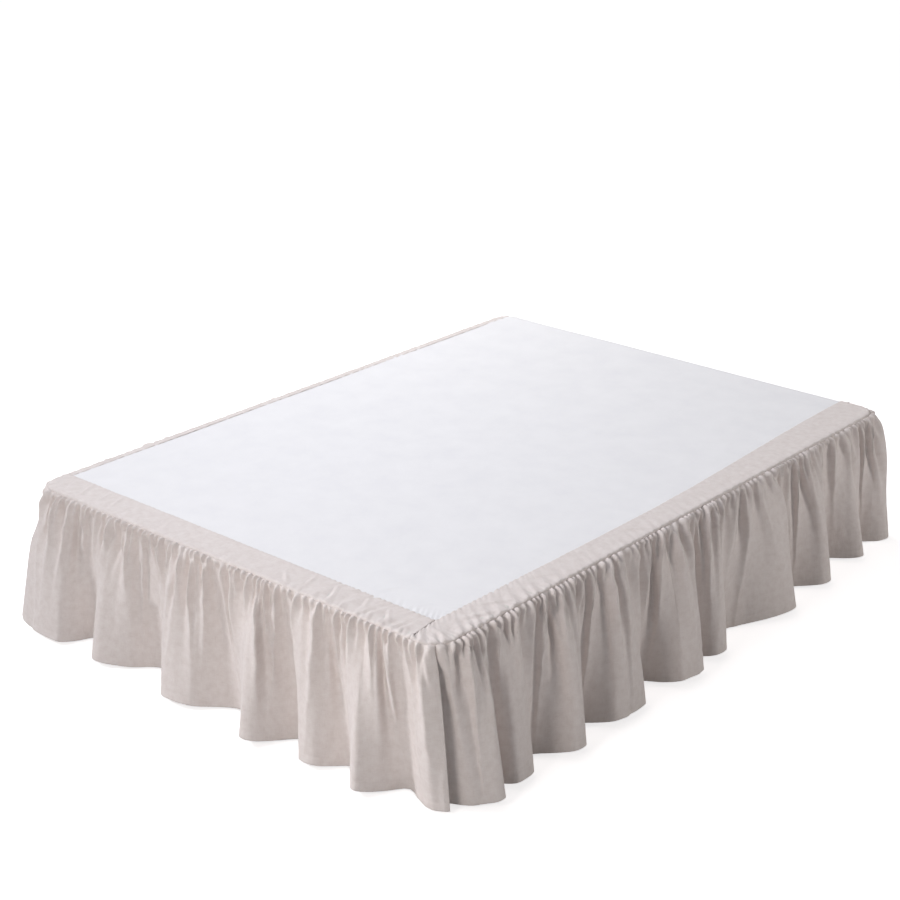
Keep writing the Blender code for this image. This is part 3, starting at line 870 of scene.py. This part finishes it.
def hemmed(points, flat, rows):
    """Adds the hem's inner fold below a ruffle's face, and the turned edge in the seam."""
    normal = out_of(points)
    inner = np.flatnonzero(rows >= 1.0 - HEM_DEPTH / RUFFLE_DROP - 1e-6)[::-1]
    turn = points[-1] - normal[-1] * FOLD_GAP / 2
    turn[:, 2] -= 0.0006
    fold = points[inner] - normal[inner] * FOLD_GAP
    tuck = points[0] - normal[0] * TURN_TUCK
    tuck[:, 2] = points[0][:, 2] + 0.0004
    under = tuck - normal[0] * 0.0020
    under[:, 2] = points[0][:, 2] - 0.0050
    sheet = np.concatenate([[under, tuck], points, [turn], fold])
    depth = RUFFLE_DROP + 0.001 + (RUFFLE_DROP - rows[inner] * RUFFLE_DROP)
    ends = flat[inner].copy()
    ends[..., 1] = -depth[:, None]
    above, below = flat[:1].copy(), flat[-1:].copy()
    above[..., 1] = 0.003
    below[..., 1] = -RUFFLE_DROP - 0.0008
    return sheet, np.concatenate([above + (0.0, 0.004), above, flat, below, ends])


def seam_lines(settings):
    """The three ruffles' seams as drawn in by their gathers, as (x, y, z) points."""
    return np.concatenate([ruffle_sheet(ruffle, settings)[0][0] for ruffle in RUFFLES])


# ---------------------------------------------------------------------------------------
# Bands and deck
# ---------------------------------------------------------------------------------------

def near_seam_x(y):
    """Where the seam between the deck and the near band lies, at places along the bed."""
    share = (y - FOOT_Y) / BED_LENGTH
    width = np.full_like(share, NEAR_BAND[-1].width)
    for low, high in reversed(list(zip(NEAR_BAND, NEAR_BAND[1:]))):
        part = (share - low.share) / (high.share - low.share)
        width = np.where(share <= high.share,
                         low.width + (high.width - low.width) * ease(part), width)
    return NEAR_X - width


def arc_edge(centre, first, last):
    """Edge points (x, y, outward x, outward y) on a rounded corner, from its angles."""
    count = max(3, int(abs(math.radians(last - first)) * CORNER_RADIUS / SHEET_STEP) + 1)
    angle = np.radians(np.linspace(first, last, count))
    out = np.stack([np.cos(angle), np.sin(angle)], -1)
    return np.concatenate([np.array(centre) + CORNER_RADIUS * out, out], -1)


def straight_edge(start, end):
    """Edge points (x, y, outward x, outward y) on a straight side."""
    start, run = np.array(start), np.array(end) - np.array(start)
    length = float(np.linalg.norm(run))
    share = np.linspace(0.0, 1.0, max(3, int(length / SHEET_STEP) + 1))[:, None]
    out = np.array([run[1], -run[0]]) / length
    return np.concatenate([start + run * share, np.broadcast_to(out, (len(share), 2))], -1)


def joined_edge(*parts):
    """Edge parts as one line, without the point that each shares with the last."""
    return np.concatenate([parts[0]] + [part[1:] for part in parts[1:]])


def band_sheet(rng, outer, inner, pucker_places, creases, seams, settings):
    """A band from its seam on the deck to the edge, then down over the edge.

    outer holds edge points, inner the place on the deck's seam that faces each of them.
    pucker_places gives, for each of them, how drawn in the ruffle's seam is there.
    """
    edge, out = outer[:, :2], outer[:, 2:]
    along = path_length(edge)
    flat_edge = edge - out * EDGE_ROLL
    width = np.linalg.norm(flat_edge - inner, axis=-1)
    steps = np.array([0.0, 0.0014, 0.0032])
    shares = np.concatenate([steps / np.maximum(width[:, None], 0.004),
                             np.broadcast_to(np.linspace(0.08, 1.0, 20),
                                             (len(edge), 20))], -1)
    shares = np.sort(np.minimum(shares, 1.0), axis=-1).T[..., None]
    flat = inner + (flat_edge - inner) * shares
    from_seam = width * shares[..., 0]
    to_edge = width * (1 - shares[..., 0]) + EDGE_ROLL
    height = np.full(from_seam.shape, TOP_Z + BAND_RISE)
    height -= 0.0009 * np.exp(-(from_seam / 0.0012) ** 2)

    length = along[-1] * 1.2 + 0.1
    run = along[None, :]
    edge_turns = uneven_turns(rng, length, 0.0145, run + 0.4 * to_edge)
    seam_turns = uneven_turns(rng, length, 0.0170, run + 0.5 * from_seam)
    long_turns = uneven_turns(rng, length, 0.0360, run - 0.25 * to_edge)
    tall = settings.pucker_height * pucker_places[None, :]
    patches = uneven_turns(rng, length, 0.062, along)
    patchy = 0.65 + 0.35 * np.cos(2 * np.pi * patches)[None, :]
    beside_edge = np.exp(-(to_edge / 0.022) ** 1.5)
    beside_seam = np.exp(-(from_seam / 0.018) ** 1.5)
    height += tall * patchy * beside_edge * np.cos(2 * np.pi * edge_turns)
    height += 0.9 * tall * np.exp(-(to_edge / 0.055) ** 2) * ridge_wave(long_turns, 0.5)
    height += 0.55 * tall * beside_seam * np.cos(2 * np.pi * seam_turns)
    height += 0.0005 * soft_noise(rng, run + 0 * to_edge, from_seam, 0.045, 0.030)
    for crease in creases:
        height += crease_height(crease, flat[..., 0], flat[..., 1])
    sheet = [np.concatenate([flat, height[..., None]], -1)]

    near = ((seams[None, :, :2] - edge[:, None, :]) ** 2).sum(-1).argmin(axis=1)
    drawn = seams[near]
    covered = np.linalg.norm(drawn[:, :2] - edge, axis=-1) < 0.02
    pulled = np.where(covered, ((drawn[:, :2] - edge) * out).sum(-1) - SEAM_OUT, 0.0)
    pulled = np.clip(pulled, -0.0015, 0.0015)
    lift = height[-1] - TOP_Z - BAND_RISE
    for turn in (18, 36, 54, 72, 90):
        angle = math.radians(turn)
        inset = EDGE_ROLL * (1 - math.sin(angle))
        place = edge - out * (inset - pulled * math.sin(angle))[:, None]
        z = TOP_Z + BAND_RISE - EDGE_ROLL * (1 - math.cos(angle)) + lift * math.cos(angle)
        sheet.append(np.concatenate([place, z[:, None]], -1)[None])
    place = edge + out * (pulled - 0.0012)[:, None]
    z = np.full(len(edge), TOP_Z + BAND_RISE - EDGE_ROLL - BAND_TUCK)
    sheet.append(np.concatenate([place, z[:, None]], -1)[None])
    points = np.concatenate(sheet)
    fallen = np.linalg.norm(np.diff(points, axis=0), axis=-1)
    down = np.concatenate([np.zeros((1, len(edge))), np.cumsum(fallen, axis=0)])
    return points, np.stack([np.broadcast_to(along, down.shape), -down], -1)


def foot_band_edges():
    """Outer and inner lines of the foot band, from the far side round to the near band."""
    seam_y = FOOT_Y + FOOT_BAND
    end_x = NEAR_X - NEAR_BAND_AT_FOOT - JOIN
    corner = FAR_X + CORNER_RADIUS
    outer = joined_edge(
        straight_edge((FAR_X, seam_y), (FAR_X, FOOT_Y + CORNER_RADIUS)),
        arc_edge((corner, FOOT_Y + CORNER_RADIUS), 180, 270),
        straight_edge((corner, FOOT_Y), (end_x, FOOT_Y)))
    along = path_length(outer[:, :2])
    turned = along[np.argmax(outer[:, 0] >= corner - 1e-9)]
    inner_end = near_seam_x(np.array([seam_y]))[0] - JOIN
    fan = FAR_X + EDGE_ROLL + 0.001 + (CORNER_RADIUS - EDGE_ROLL) * along / turned
    run = corner + (outer[:, 0] - corner) * (inner_end - corner) / (end_x - corner)
    inner_x = np.where(along < turned, fan, run)
    return outer, np.stack([inner_x, np.full_like(inner_x, seam_y)], -1)


def near_band_edges():
    """Outer and inner lines of the near band, round the near corner and up to the head."""
    start_x, corner = NEAR_X - NEAR_BAND_AT_FOOT, NEAR_X - CORNER_RADIUS
    outer = joined_edge(
        straight_edge((start_x, FOOT_Y), (corner, FOOT_Y)),
        arc_edge((corner, FOOT_Y + CORNER_RADIUS), -90, 0),
        straight_edge((NEAR_X, FOOT_Y + CORNER_RADIUS), (NEAR_X, HEAD_Y - CORNER_RADIUS)),
        arc_edge((corner, HEAD_Y - CORNER_RADIUS), 0, 90),
        straight_edge((corner, HEAD_Y), (NEAR_X - NEAR_BAND[-1].width, HEAD_Y)))
    along = path_length(outer[:, :2])
    foot_turn = (corner - start_x) + QUARTER * CORNER_RADIUS
    head_turn = foot_turn + SIDE_STRAIGHT
    seam_y = FOOT_Y + FOOT_BAND
    stations = [0.0, foot_turn, head_turn, along[-1]]
    inner_y = np.interp(along, stations, [FOOT_Y + EDGE_ROLL + 0.001, seam_y,
                                          HEAD_Y - 0.075, HEAD_Y - HEAD_ROLL])
    seam_x = near_seam_x(np.array([seam_y]))[0]
    butt_x = np.interp(inner_y, [FOOT_Y, seam_y], [start_x, seam_x])
    inner_x = np.where(inner_y < seam_y, butt_x, near_seam_x(inner_y))
    return outer, np.stack([inner_x, inner_y], -1)


def far_binding_edges():
    """Outer and inner lines of the far binding, from the head corner to the foot band."""
    corner = (FAR_X + CORNER_RADIUS, HEAD_Y - CORNER_RADIUS)
    last = 182 - math.degrees(math.acos(1 - FAR_BINDING / CORNER_RADIUS))
    end_y = FOOT_Y + FOOT_BAND + JOIN
    outer = joined_edge(arc_edge(corner, last, 180),
                        straight_edge((FAR_X, corner[1]), (FAR_X, end_y)))
    share = path_length(outer[:, :2]) / path_length(outer[:, :2])[-1]
    start = outer[0, :2] - outer[0, 2:] * EDGE_ROLL + (0.0012, -0.0004)
    end = np.array([FAR_X + FAR_BINDING, end_y])
    return outer, start + (end - start) * share[:, None]


def band_sheets(settings):
    """Name, points and flat places of each band, drawn in most near the near corner."""
    seams = seam_lines(settings)
    pieces = (("band_foot", foot_band_edges(), FOOT_BAND_CREASES, 51),
              ("band_near_side", near_band_edges(), NEAR_BAND_CREASES, 52),
              ("binding_far_side", far_binding_edges(), (), 53))
    for name, (outer, inner), creases, seed in pieces:
        near_corner = np.hypot(outer[:, 0] - NEAR_X, outer[:, 1] - FOOT_Y)
        drawn = 0.40 + 0.80 * ease((0.52 - near_corner) / 0.22)
        points, flat = band_sheet(np.random.default_rng(seed), outer, inner, drawn,
                                  creases, seams, settings)
        yield name, points, flat


def graded(count, fine, share):
    """Shares from 0 to 1, closer together near both ends."""
    even = np.linspace(0.0, 1.0, count)
    return (1 - share) * even + share * (even - fine * np.sin(2 * np.pi * even))


def deck_sheet(rng, settings):
    """The deck, from its seam at the foot up to the head, and down over the head's edge."""
    foot_seam = FOOT_Y + FOOT_BAND
    across = graded(190, 0.10, 1.0)
    upward = graded(230, 0.10, 1.0)
    roll = HEAD_ROLL
    y = foot_seam - UNDER_LAP + (HEAD_Y - roll - foot_seam + UNDER_LAP) * upward[:, None]
    near_x = near_seam_x(y) + UNDER_LAP
    far_x = FAR_X + FAR_BINDING - UNDER_LAP + 0.006 * upward[:, None] ** 3
    x = near_x + (far_x - near_x) * across[None, :]
    beside = np.clip((FAR_X + CORNER_RADIUS - x) / CORNER_RADIUS, 0.0, 0.98)
    out = np.stack([-beside, np.sqrt(1 - beside ** 2)], -1)
    edge_y = HEAD_Y - DECK_BELOW - CORNER_RADIUS * (1 - out[..., 1])
    y = foot_seam - UNDER_LAP + (edge_y - roll * out[..., 1] - foot_seam + UNDER_LAP) \
        * upward[:, None]
    z = np.full(x.shape, TOP_Z - DECK_BELOW)
    from_foot = np.maximum(y - foot_seam, 0.0)
    from_near = np.maximum(near_x - UNDER_LAP - x, 0.0)
    at_x, at_y = x - FAR_X, y - FOOT_Y
    z += 0.0006 * soft_noise(rng, at_x, at_y, 0.210, 0.260) * ease(from_foot / 0.1)
    turns = uneven_turns(rng, 1.6, 0.0175, at_x + 0.6 * from_foot)
    drawn = settings.pucker_height * (0.25 + 0.75 * ease((x - NEAR_X + 0.52) / 0.24))
    z += 0.42 * drawn * np.exp(-(from_foot / 0.026) ** 1.4) * np.cos(2 * np.pi * turns)
    turns = uneven_turns(rng, 2.2, 0.0210, at_y + 0.5 * from_near)
    z += 0.0003 * np.exp(-(from_near / 0.020) ** 1.4) * np.cos(2 * np.pi * turns)
    for crease in DECK_CREASES:
        z += crease_height(crease, x, y)
    under = (from_foot <= 0) | (from_near <= 0)
    z = np.where(under, np.minimum(z, TOP_Z - DECK_BELOW), z)
    sheet = [np.stack([x, y, z], -1)]
    last, out = sheet[0][-1], out[-1]
    for turn in (20, 40, 60, 80, 90):
        angle = math.radians(turn)
        place = last[:, :2] + out * roll * math.sin(angle)
        drop = last[:, 2] - roll * (1 - math.cos(angle))
        sheet.append(np.concatenate([place, drop[:, None]], -1)[None])
    for lower in (0.004, 0.009, 0.014):
        drop = last[:, 2] - roll - lower
        sheet.append(np.concatenate([place - out * lower * 0.08, drop[:, None]], -1)[None])
    points = np.concatenate(sheet)
    fallen = np.linalg.norm(np.diff(points, axis=0), axis=-1)
    down = np.concatenate([np.zeros((1, points.shape[1])), np.cumsum(fallen, axis=0)])
    return points, np.stack([points[..., 0], down], -1)


# ---------------------------------------------------------------------------------------
# Stitching and base
# ---------------------------------------------------------------------------------------

def stitch_run(points, normals, vertices, faces):
    """Adds a row of lockstitches along a line that lies on a cloth."""
    along = path_length(points)
    starts = np.arange(STITCH_PITCH / 2, along[-1] - STITCH_PITCH, STITCH_PITCH)
    ends = starts + STITCH_LENGTH

    def at(places, values):
        return np.stack([np.interp(places, along, values[:, axis])
                         for axis in range(3)], -1)

    first, last, up = at(starts, points), at(ends, points), at(starts, normals)
    run = last - first
    run /= np.linalg.norm(run, axis=-1, keepdims=True)
    side = np.cross(up, run)
    middle = (first + last) / 2
    corners = (first - up * STITCH_SUNK, last - up * STITCH_SUNK,
               middle + up * STITCH_HALF * 1.2,
               middle + side * STITCH_HALF, middle - side * STITCH_HALF,
               middle - up * STITCH_HALF)
    base = len(vertices)
    for corner in zip(*corners):
        vertices.extend(corner)
    shape = ((0, 3, 2), (3, 1, 2), (0, 2, 4), (4, 2, 1), (0, 4, 5), (4, 1, 5),
             (0, 5, 3), (3, 5, 1))
    for number in range(len(starts)):
        faces.extend(tuple(base + 6 * number + place for place in face) for face in shape)


def stitched_object(name, runs, material):
    """One object from several rows of stitches, each (points, normals)."""
    vertices, faces = [], []
    for points, normals in runs:
        stitch_run(points, normals, vertices, faces)
    mesh = bpy.data.meshes.new(name)
    mesh.from_pydata([tuple(map(float, vertex)) for vertex in vertices], [], faces)
    mesh.update()
    mesh.polygons.foreach_set("use_smooth", np.ones(len(mesh.polygons), dtype=bool))
    mesh.materials.append(material)
    made = bpy.data.objects.new(name, mesh)
    bpy.context.collection.objects.link(made)
    return made


def row_of(points, flat, row_place, inset=0):
    """The line and normals across a sheet at one flat height."""
    row = int(np.abs(flat[:, 0, 1] - row_place).argmin())
    normal = out_of(points)
    ends = slice(inset, points.shape[1] - inset)
    return points[row, ends], normal[row, ends]


def base_outline(inset, step=0.006):
    """Points and outward directions round the base's rounded corners."""
    radius = 0.0555 - inset
    low = np.array([BASE_LOW[0], BASE_LOW[1]]) + inset + radius
    high = np.array([BASE_HIGH[0], BASE_HIGH[1]]) - inset - radius
    corners = (((high[0], low[1]), -90), ((high[0], high[1]), 0), ((low[0], high[1]), 90),
               ((low[0], low[1]), 180))
    points, outs = [], []
    for number, (centre, first) in enumerate(corners):
        angle = np.radians(np.linspace(first, first + 90, 14))
        out = np.stack([np.cos(angle), np.sin(angle)], -1)
        arc = np.array(centre) + radius * out
        after = corners[(number + 1) % 4]
        turn = np.radians(after[1])
        target = np.array(after[0]) + radius * np.array([math.cos(turn), math.sin(turn)])
        count = max(4, int(np.linalg.norm(target - arc[-1]) / (step * 2.5)))
        share = np.linspace(0, 1, count + 1)[1:-1, None]
        points += [arc, arc[-1] + (target - arc[-1]) * share]
        outs += [out, np.broadcast_to(out[-1], (len(share), 2))]
    return np.concatenate(points), np.concatenate(outs)


def base_sheet(rng):
    """The base's cover: rings round it from the middle of its top to that of its foot."""
    height = BASE_HIGH[2] - BASE_LOW[2]
    line, out = base_outline(0.0)
    along = path_length(line)
    profile = [(0.060, 0.0), (0.012, 0.0), (0.0075, 0.0002), (0.0042, 0.0012),
               (0.0022, 0.0030), (0.0014, 0.0055), (0.0034, 0.0082)]
    for share in np.linspace(0.06, 0.94, 18):
        profile.append((0.0034 * (1 - math.sin(math.pi * share) ** 0.6), height * share))
    profile += [(0.0034, height - 0.0082), (0.0014, height - 0.0055),
                (0.0022, height - 0.0030), (0.0042, height - 0.0010),
                (0.0075, height), (0.030, height)]
    rings, flats, run = [], [], 0.0
    for number, (inset, drop) in enumerate(profile):
        if number:
            above = profile[number - 1]
            run += math.hypot(inset - above[0], drop - above[1])
        deep = math.sin(math.pi * drop / height)
        wave = soft_noise(rng, along, np.full_like(along, drop), 0.110, 0.5)
        place = line - out * (inset + 0.0006 * deep * (1 + wave))[:, None]
        level = np.full((len(line), 1), BASE_HIGH[2] - drop)
        rings.append(np.concatenate([place, level], -1))
        flats.append(np.stack([along, np.full_like(along, run)], -1))
    return np.array(rings), np.array(flats)


def piping_sheet(z, inset, radius):
    """A cord in its cloth round the base, as rings that share one round section."""
    line, out = base_outline(inset)
    along = path_length(line)
    rings, flats = [], []
    for number in range(13):
        angle = 2 * math.pi * number / 12
        place = line + out * radius * math.cos(angle)
        rings.append(np.concatenate([place, np.full((len(line), 1),
                                                    z - radius * math.sin(angle))], -1))
        flats.append(np.stack([along, np.full_like(along, radius * angle)], -1))
    return np.array(rings), np.array(flats)


def close_ends(made, materials):
    """Fills the open first and last rings of a cover, each with one flat face."""
    mesh = made.data
    for material in materials:
        mesh.materials.append(material)
    bm = bmesh.new()
    bm.from_mesh(mesh)
    edges = [edge for edge in bm.edges if edge.is_boundary]
    filled = bmesh.ops.holes_fill(bm, edges=edges, sides=0)["faces"]
    low = min(face.calc_center_median().z for face in filled)
    layer = bm.loops.layers.uv["cloth"]
    for face in filled:
        face.smooth = False
        face.material_index = int(face.calc_center_median().z < low + 0.01)
        for loop in face.loops:
            loop[layer].uv = loop.vert.co.xy
    bmesh.ops.recalc_face_normals(bm, faces=bm.faces)
    bm.to_mesh(mesh)
    bm.free()


def welded(made):
    """Joins the first and last rings of a tube, where they meet."""
    bm = bmesh.new()
    bm.from_mesh(made.data)
    bmesh.ops.remove_doubles(bm, verts=bm.verts, dist=0.00002)
    bmesh.ops.recalc_face_normals(bm, faces=bm.faces)
    bm.to_mesh(made.data)
    bm.free()


# ---------------------------------------------------------------------------------------
# Settings
# ---------------------------------------------------------------------------------------

class SkirtSettings(bpy.types.PropertyGroup):
    """How the skirt's cloth is gathered and puckered."""
    head_stand: FloatProperty(name="Gather heads", default=0.0040, unit="LENGTH",
                              description="How far the heads of the gathers stand out")
    gather_stand: FloatProperty(name="Gathers", default=0.0068, unit="LENGTH",
                                description="How far the gathers stand out at the seam")
    pleat_stand: FloatProperty(name="Pleats", default=0.0122, unit="LENGTH",
                               description="How far the pleats below the gathers stand out")
    fold_stand: FloatProperty(name="Folds", default=0.0096, unit="LENGTH",
                              description="How far the soft folds lower down stand out")
    pucker_height: FloatProperty(name="Puckers", default=0.0021, unit="LENGTH",
                                 description="Height of the puckers along the band seams")


class StageSettings(bpy.types.PropertyGroup):
    """The camera and the lights."""
    lens: FloatProperty(name="Lens", default=74.54, subtype="DISTANCE_CAMERA",
                        description="Focal length on a sensor 36 mm wide")
    eye: FloatVectorProperty(name="Eye", default=(2.335, -2.651, 1.880), subtype="XYZ",
                             unit="LENGTH",
                             description="Camera from the near foot corner of the top")
    turn: FloatProperty(name="Turn", default=math.radians(-40.92), subtype="ANGLE",
                        description="Turn of the view from straight up the bed")
    tilt: FloatProperty(name="Tilt", default=math.radians(21.955), subtype="ANGLE",
                        description="How far the view looks down")
    key_strength: FloatProperty(name="Key light", default=1.40,
                                description="Strength of the key light, from the left")
    left_power: FloatProperty(name="Left light", default=47.0, unit="POWER",
                              description="Power of the lamp beyond the far side")
    top_power: FloatProperty(name="Top light", default=19.0, unit="POWER",
                             description="Power of the lamp over the foot of the bed")
    front_power: FloatProperty(name="Front light", default=20.0, unit="POWER",
                               description="Power of the lamp before the foot")
    right_power: FloatProperty(name="Right light", default=60.0, unit="POWER",
                               description="Power of the lamp beyond the near side")
    sky: FloatProperty(name="Sky", default=0.16,
                       description="Strength of the even light from all round")


# ---------------------------------------------------------------------------------------
# Operators
# ---------------------------------------------------------------------------------------

class BEDSKIRT_OT_ruffles(bpy.types.Operator):
    """Hangs the three gathered ruffles from the edge of the bed"""
    bl_idname = "bed_skirt.ruffles"
    bl_label = "Ruffles"

    def execute(self, context):
        settings = context.scene.bed_skirt
        linen = kept_material("washed_linen_cotton_plain_weave", linen_material)
        for ruffle in RUFFLES:
            points, flat, width, rows = ruffle_sheet(ruffle, settings)
            sheet, places = hemmed(points, flat, rows)
            made = grid_object(ruffle.name + "_cloth", sheet, places, linen, RUFFLE_CLOTH)
            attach(made, "root")
            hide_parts(ruffle.name)
        return {"FINISHED"}


class BEDSKIRT_OT_bands(bpy.types.Operator):
    """Lays the foot band, the near band and the far binding round the deck"""
    bl_idname = "bed_skirt.bands"
    bl_label = "Bands"

    def execute(self, context):
        linen = kept_material("washed_linen_cotton_plain_weave", linen_material)
        for name, points, flat in band_sheets(context.scene.bed_skirt):
            made = grid_object(name + "_cloth", points, flat, linen, BAND_CLOTH)
            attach(made, "root")
            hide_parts(name)
        return {"FINISHED"}


class BEDSKIRT_OT_deck(bpy.types.Operator):
    """Lays the white deck sheet over the base, inside the bands"""
    bl_idname = "bed_skirt.deck"
    bl_label = "Deck"

    def execute(self, context):
        sheeting = kept_material("white_polycotton_sheeting", sheeting_material)
        points, flat = deck_sheet(np.random.default_rng(61), context.scene.bed_skirt)
        made = grid_object("deck_cloth", points, flat, sheeting, DECK_CLOTH)
        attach(made, "root")
        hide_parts("deck")
        return {"FINISHED"}


class BEDSKIRT_OT_stitching(bpy.types.Operator):
    """Sews the hems, the open edges, the band seams and the deck's head hem"""
    bl_idname = "bed_skirt.stitching"
    bl_label = "Stitching"

    def execute(self, context):
        settings = context.scene.bed_skirt
        thread = kept_material("three_ply_spun_thread", thread_material)
        hems = []
        for ruffle in RUFFLES:
            points, flat, width, rows = ruffle_sheet(ruffle, settings)
            hems.append(row_of(points, flat, -(RUFFLE_DROP - HEM_DEPTH), 4))
            normal = out_of(points)
            for column in (4, -5):
                hems.append((points[8:-3, column], normal[8:-3, column]))
        made = stitched_object("hem_stitching", hems, thread)
        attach(made, "root")
        rows = []
        for name, points, flat in band_sheets(settings):
            normal = out_of(points)
            rows.append((points[2, 3:-3], normal[2, 3:-3]))
            rows.append((points[-8, 3:-3], normal[-8, 3:-3]))
        made = stitched_object("band_stitching", rows, thread)
        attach(made, "root")
        points, flat = deck_sheet(np.random.default_rng(61), settings)
        made = stitched_object("deck_hem_stitching",
                               [row_of(points, flat, flat[:, 0, 1].max() - 0.034, 6)],
                               thread)
        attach(made, "root")
        return {"FINISHED"}


class BEDSKIRT_OT_base(bpy.types.Operator):
    """Covers the base in ticking with piped edges and a dust cloth beneath"""
    bl_idname = "bed_skirt.base"
    bl_label = "Base"

    def execute(self, context):
        ticking = kept_material("close_cotton_ticking", ticking_material)
        points, flat = base_sheet(np.random.default_rng(71))
        cover = grid_object("base_cover", points, flat, ticking, closed=True)
        close_ends(cover, [kept_material("grey_bonded_fibre_cloth", dust_cloth_material)])
        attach(cover, "root")
        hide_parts("base_box")
        piping = kept_material("bias_cut_piping_cloth", piping_material)
        for name, z in (("base_piping_upper", BASE_HIGH[2] - 0.0060),
                        ("base_piping_lower", BASE_LOW[2] + 0.0060)):
            points, flat = piping_sheet(z, 0.0006, 0.0026)
            made = grid_object(name, points, flat, piping, closed=True)
            welded(made)
            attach(made, "root")
        return {"FINISHED"}


class BEDSKIRT_OT_legs(bpy.types.Operator):
    """Gives the six turned legs their lacquered beech"""
    bl_idname = "bed_skirt.legs"
    bl_label = "Legs"

    def execute(self, context):
        beech = kept_material("lacquered_beech", beech_material)
        for number in range(1, 7):
            leg = bpy.data.objects["leg_%d" % number]
            for slot in leg.material_slots:
                slot.material = beech
        return {"FINISHED"}


class BEDSKIRT_OT_stage(bpy.types.Operator):
    """Sets the floor, the lights and the camera"""
    bl_idname = "bed_skirt.stage"
    bl_label = "Stage"

    def execute(self, context):
        stage = context.scene.bed_skirt_stage
        paper = kept_material("matt_studio_paper", floor_material)
        mesh = bpy.data.meshes.new("studio_floor")
        mesh.from_pydata([(-30, -30, 0), (30, -30, 0), (30, 30, 0), (-30, 30, 0)], [],
                         [(0, 1, 2, 3)])
        mesh.materials.append(paper)
        floor = bpy.data.objects.new("studio_floor", mesh)
        context.collection.objects.link(floor)
        floor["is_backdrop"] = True

        camera = bpy.data.cameras.new("camera")
        camera.lens = stage.lens
        eye = bpy.data.objects.new("camera", camera)
        context.collection.objects.link(eye)
        look = Vector((math.sin(stage.turn) * math.cos(stage.tilt),
                       math.cos(stage.turn) * math.cos(stage.tilt), -math.sin(stage.tilt)))
        eye.location = Vector((NEAR_X, FOOT_Y, TOP_Z)) + Vector(stage.eye)
        eye.rotation_euler = look.to_track_quat("-Z", "Y").to_euler()
        context.scene.camera = eye

        for name, kind, place, size, power, tint in (
                ("key_light", "SUN", (-6.2, -4.4, 5.6), 0.12, stage.key_strength,
                 "#fbfbff"),
                ("left_light", "AREA", (-2.3, 1.4, 2.4), 1.2, stage.left_power, "#ffffff"),
                ("top_light", "AREA", (-0.5, -0.9, 2.8), 1.4, stage.top_power, "#ecf1ff"),
                ("front_light", "AREA", (0.8, -3.0, 1.4), 0.7, stage.front_power,
                 "#fffaf6"),
                ("right_light", "AREA", (4.6, 2.4, 1.6), 1.0, stage.right_power,
                 "#fffaf6")):
            light = bpy.data.lights.new(name, kind)
            if kind == "SUN":
                light.angle = size
            else:
                light.size = size
            light.energy = power
            light.color = linear(tint)[:3]
            lamp = bpy.data.objects.new(name, light)
            lamp.location = place
            aim = Vector((0.0, 0.0, 0.3)) - lamp.location
            lamp.rotation_euler = aim.to_track_quat("-Z", "Y").to_euler()
            context.collection.objects.link(lamp)
        world = bpy.data.worlds.new("studio_sky")
        world.use_nodes = True
        context.scene.world = world
        sky = world.node_tree.nodes["Background"]
        sky.inputs["Color"].default_value = linear("#fbfcff")
        seen = add_node(world.node_tree, "ShaderNodeLightPath").outputs["Is Camera Ray"]
        glow = add_node(world.node_tree, "ShaderNodeMapRange", None,
                        {"Value": seen, "To Min": stage.sky})
        world.node_tree.links.new(glow.outputs["Result"], sky.inputs["Strength"])
        context.scene.view_settings.view_transform = "Standard"
        return {"FINISHED"}


class BEDSKIRT_PT_panel(bpy.types.Panel):
    """Lists the groups of the bed skirt and their settings"""
    bl_label = "Bed Skirt"
    bl_space_type = "VIEW_3D"
    bl_region_type = "UI"
    bl_category = "Bed Skirt"

    def draw(self, context):
        for operator in OPERATORS:
            self.layout.operator(operator.bl_idname)
        for group in (context.scene.bed_skirt, context.scene.bed_skirt_stage):
            box = self.layout.box()
            for name in group.__annotations__:
                box.prop(group, name)


OPERATORS = (BEDSKIRT_OT_ruffles, BEDSKIRT_OT_bands, BEDSKIRT_OT_deck,
             BEDSKIRT_OT_stitching, BEDSKIRT_OT_base, BEDSKIRT_OT_legs, BEDSKIRT_OT_stage)
CLASSES = (SkirtSettings, StageSettings) + OPERATORS + (BEDSKIRT_PT_panel,)


def register():
    """Registers the classes and hangs the settings on the scene."""
    for cls in CLASSES:
        bpy.utils.register_class(cls)
    bpy.types.Scene.bed_skirt = PointerProperty(type=SkirtSettings)
    bpy.types.Scene.bed_skirt_stage = PointerProperty(type=StageSettings)


def unregister():
    """Takes the settings and the classes away again."""
    del bpy.types.Scene.bed_skirt_stage
    del bpy.types.Scene.bed_skirt
    for cls in reversed(CLASSES):
        bpy.utils.unregister_class(cls)


def main():
    """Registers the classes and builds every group."""
    register()
    bpy.ops.bed_skirt.ruffles()
    bpy.ops.bed_skirt.bands()
    bpy.ops.bed_skirt.deck()
    bpy.ops.bed_skirt.stitching()
    bpy.ops.bed_skirt.base()
    bpy.ops.bed_skirt.legs()
    bpy.ops.bed_skirt.stage()
    boxes = {"cad": CAD_BOUNDS, "visual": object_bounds()}
    ({name: [list(map(float, corner)) for corner in box]
               for name, box in boxes.items()})


if __name__ == "__main__":
    main()
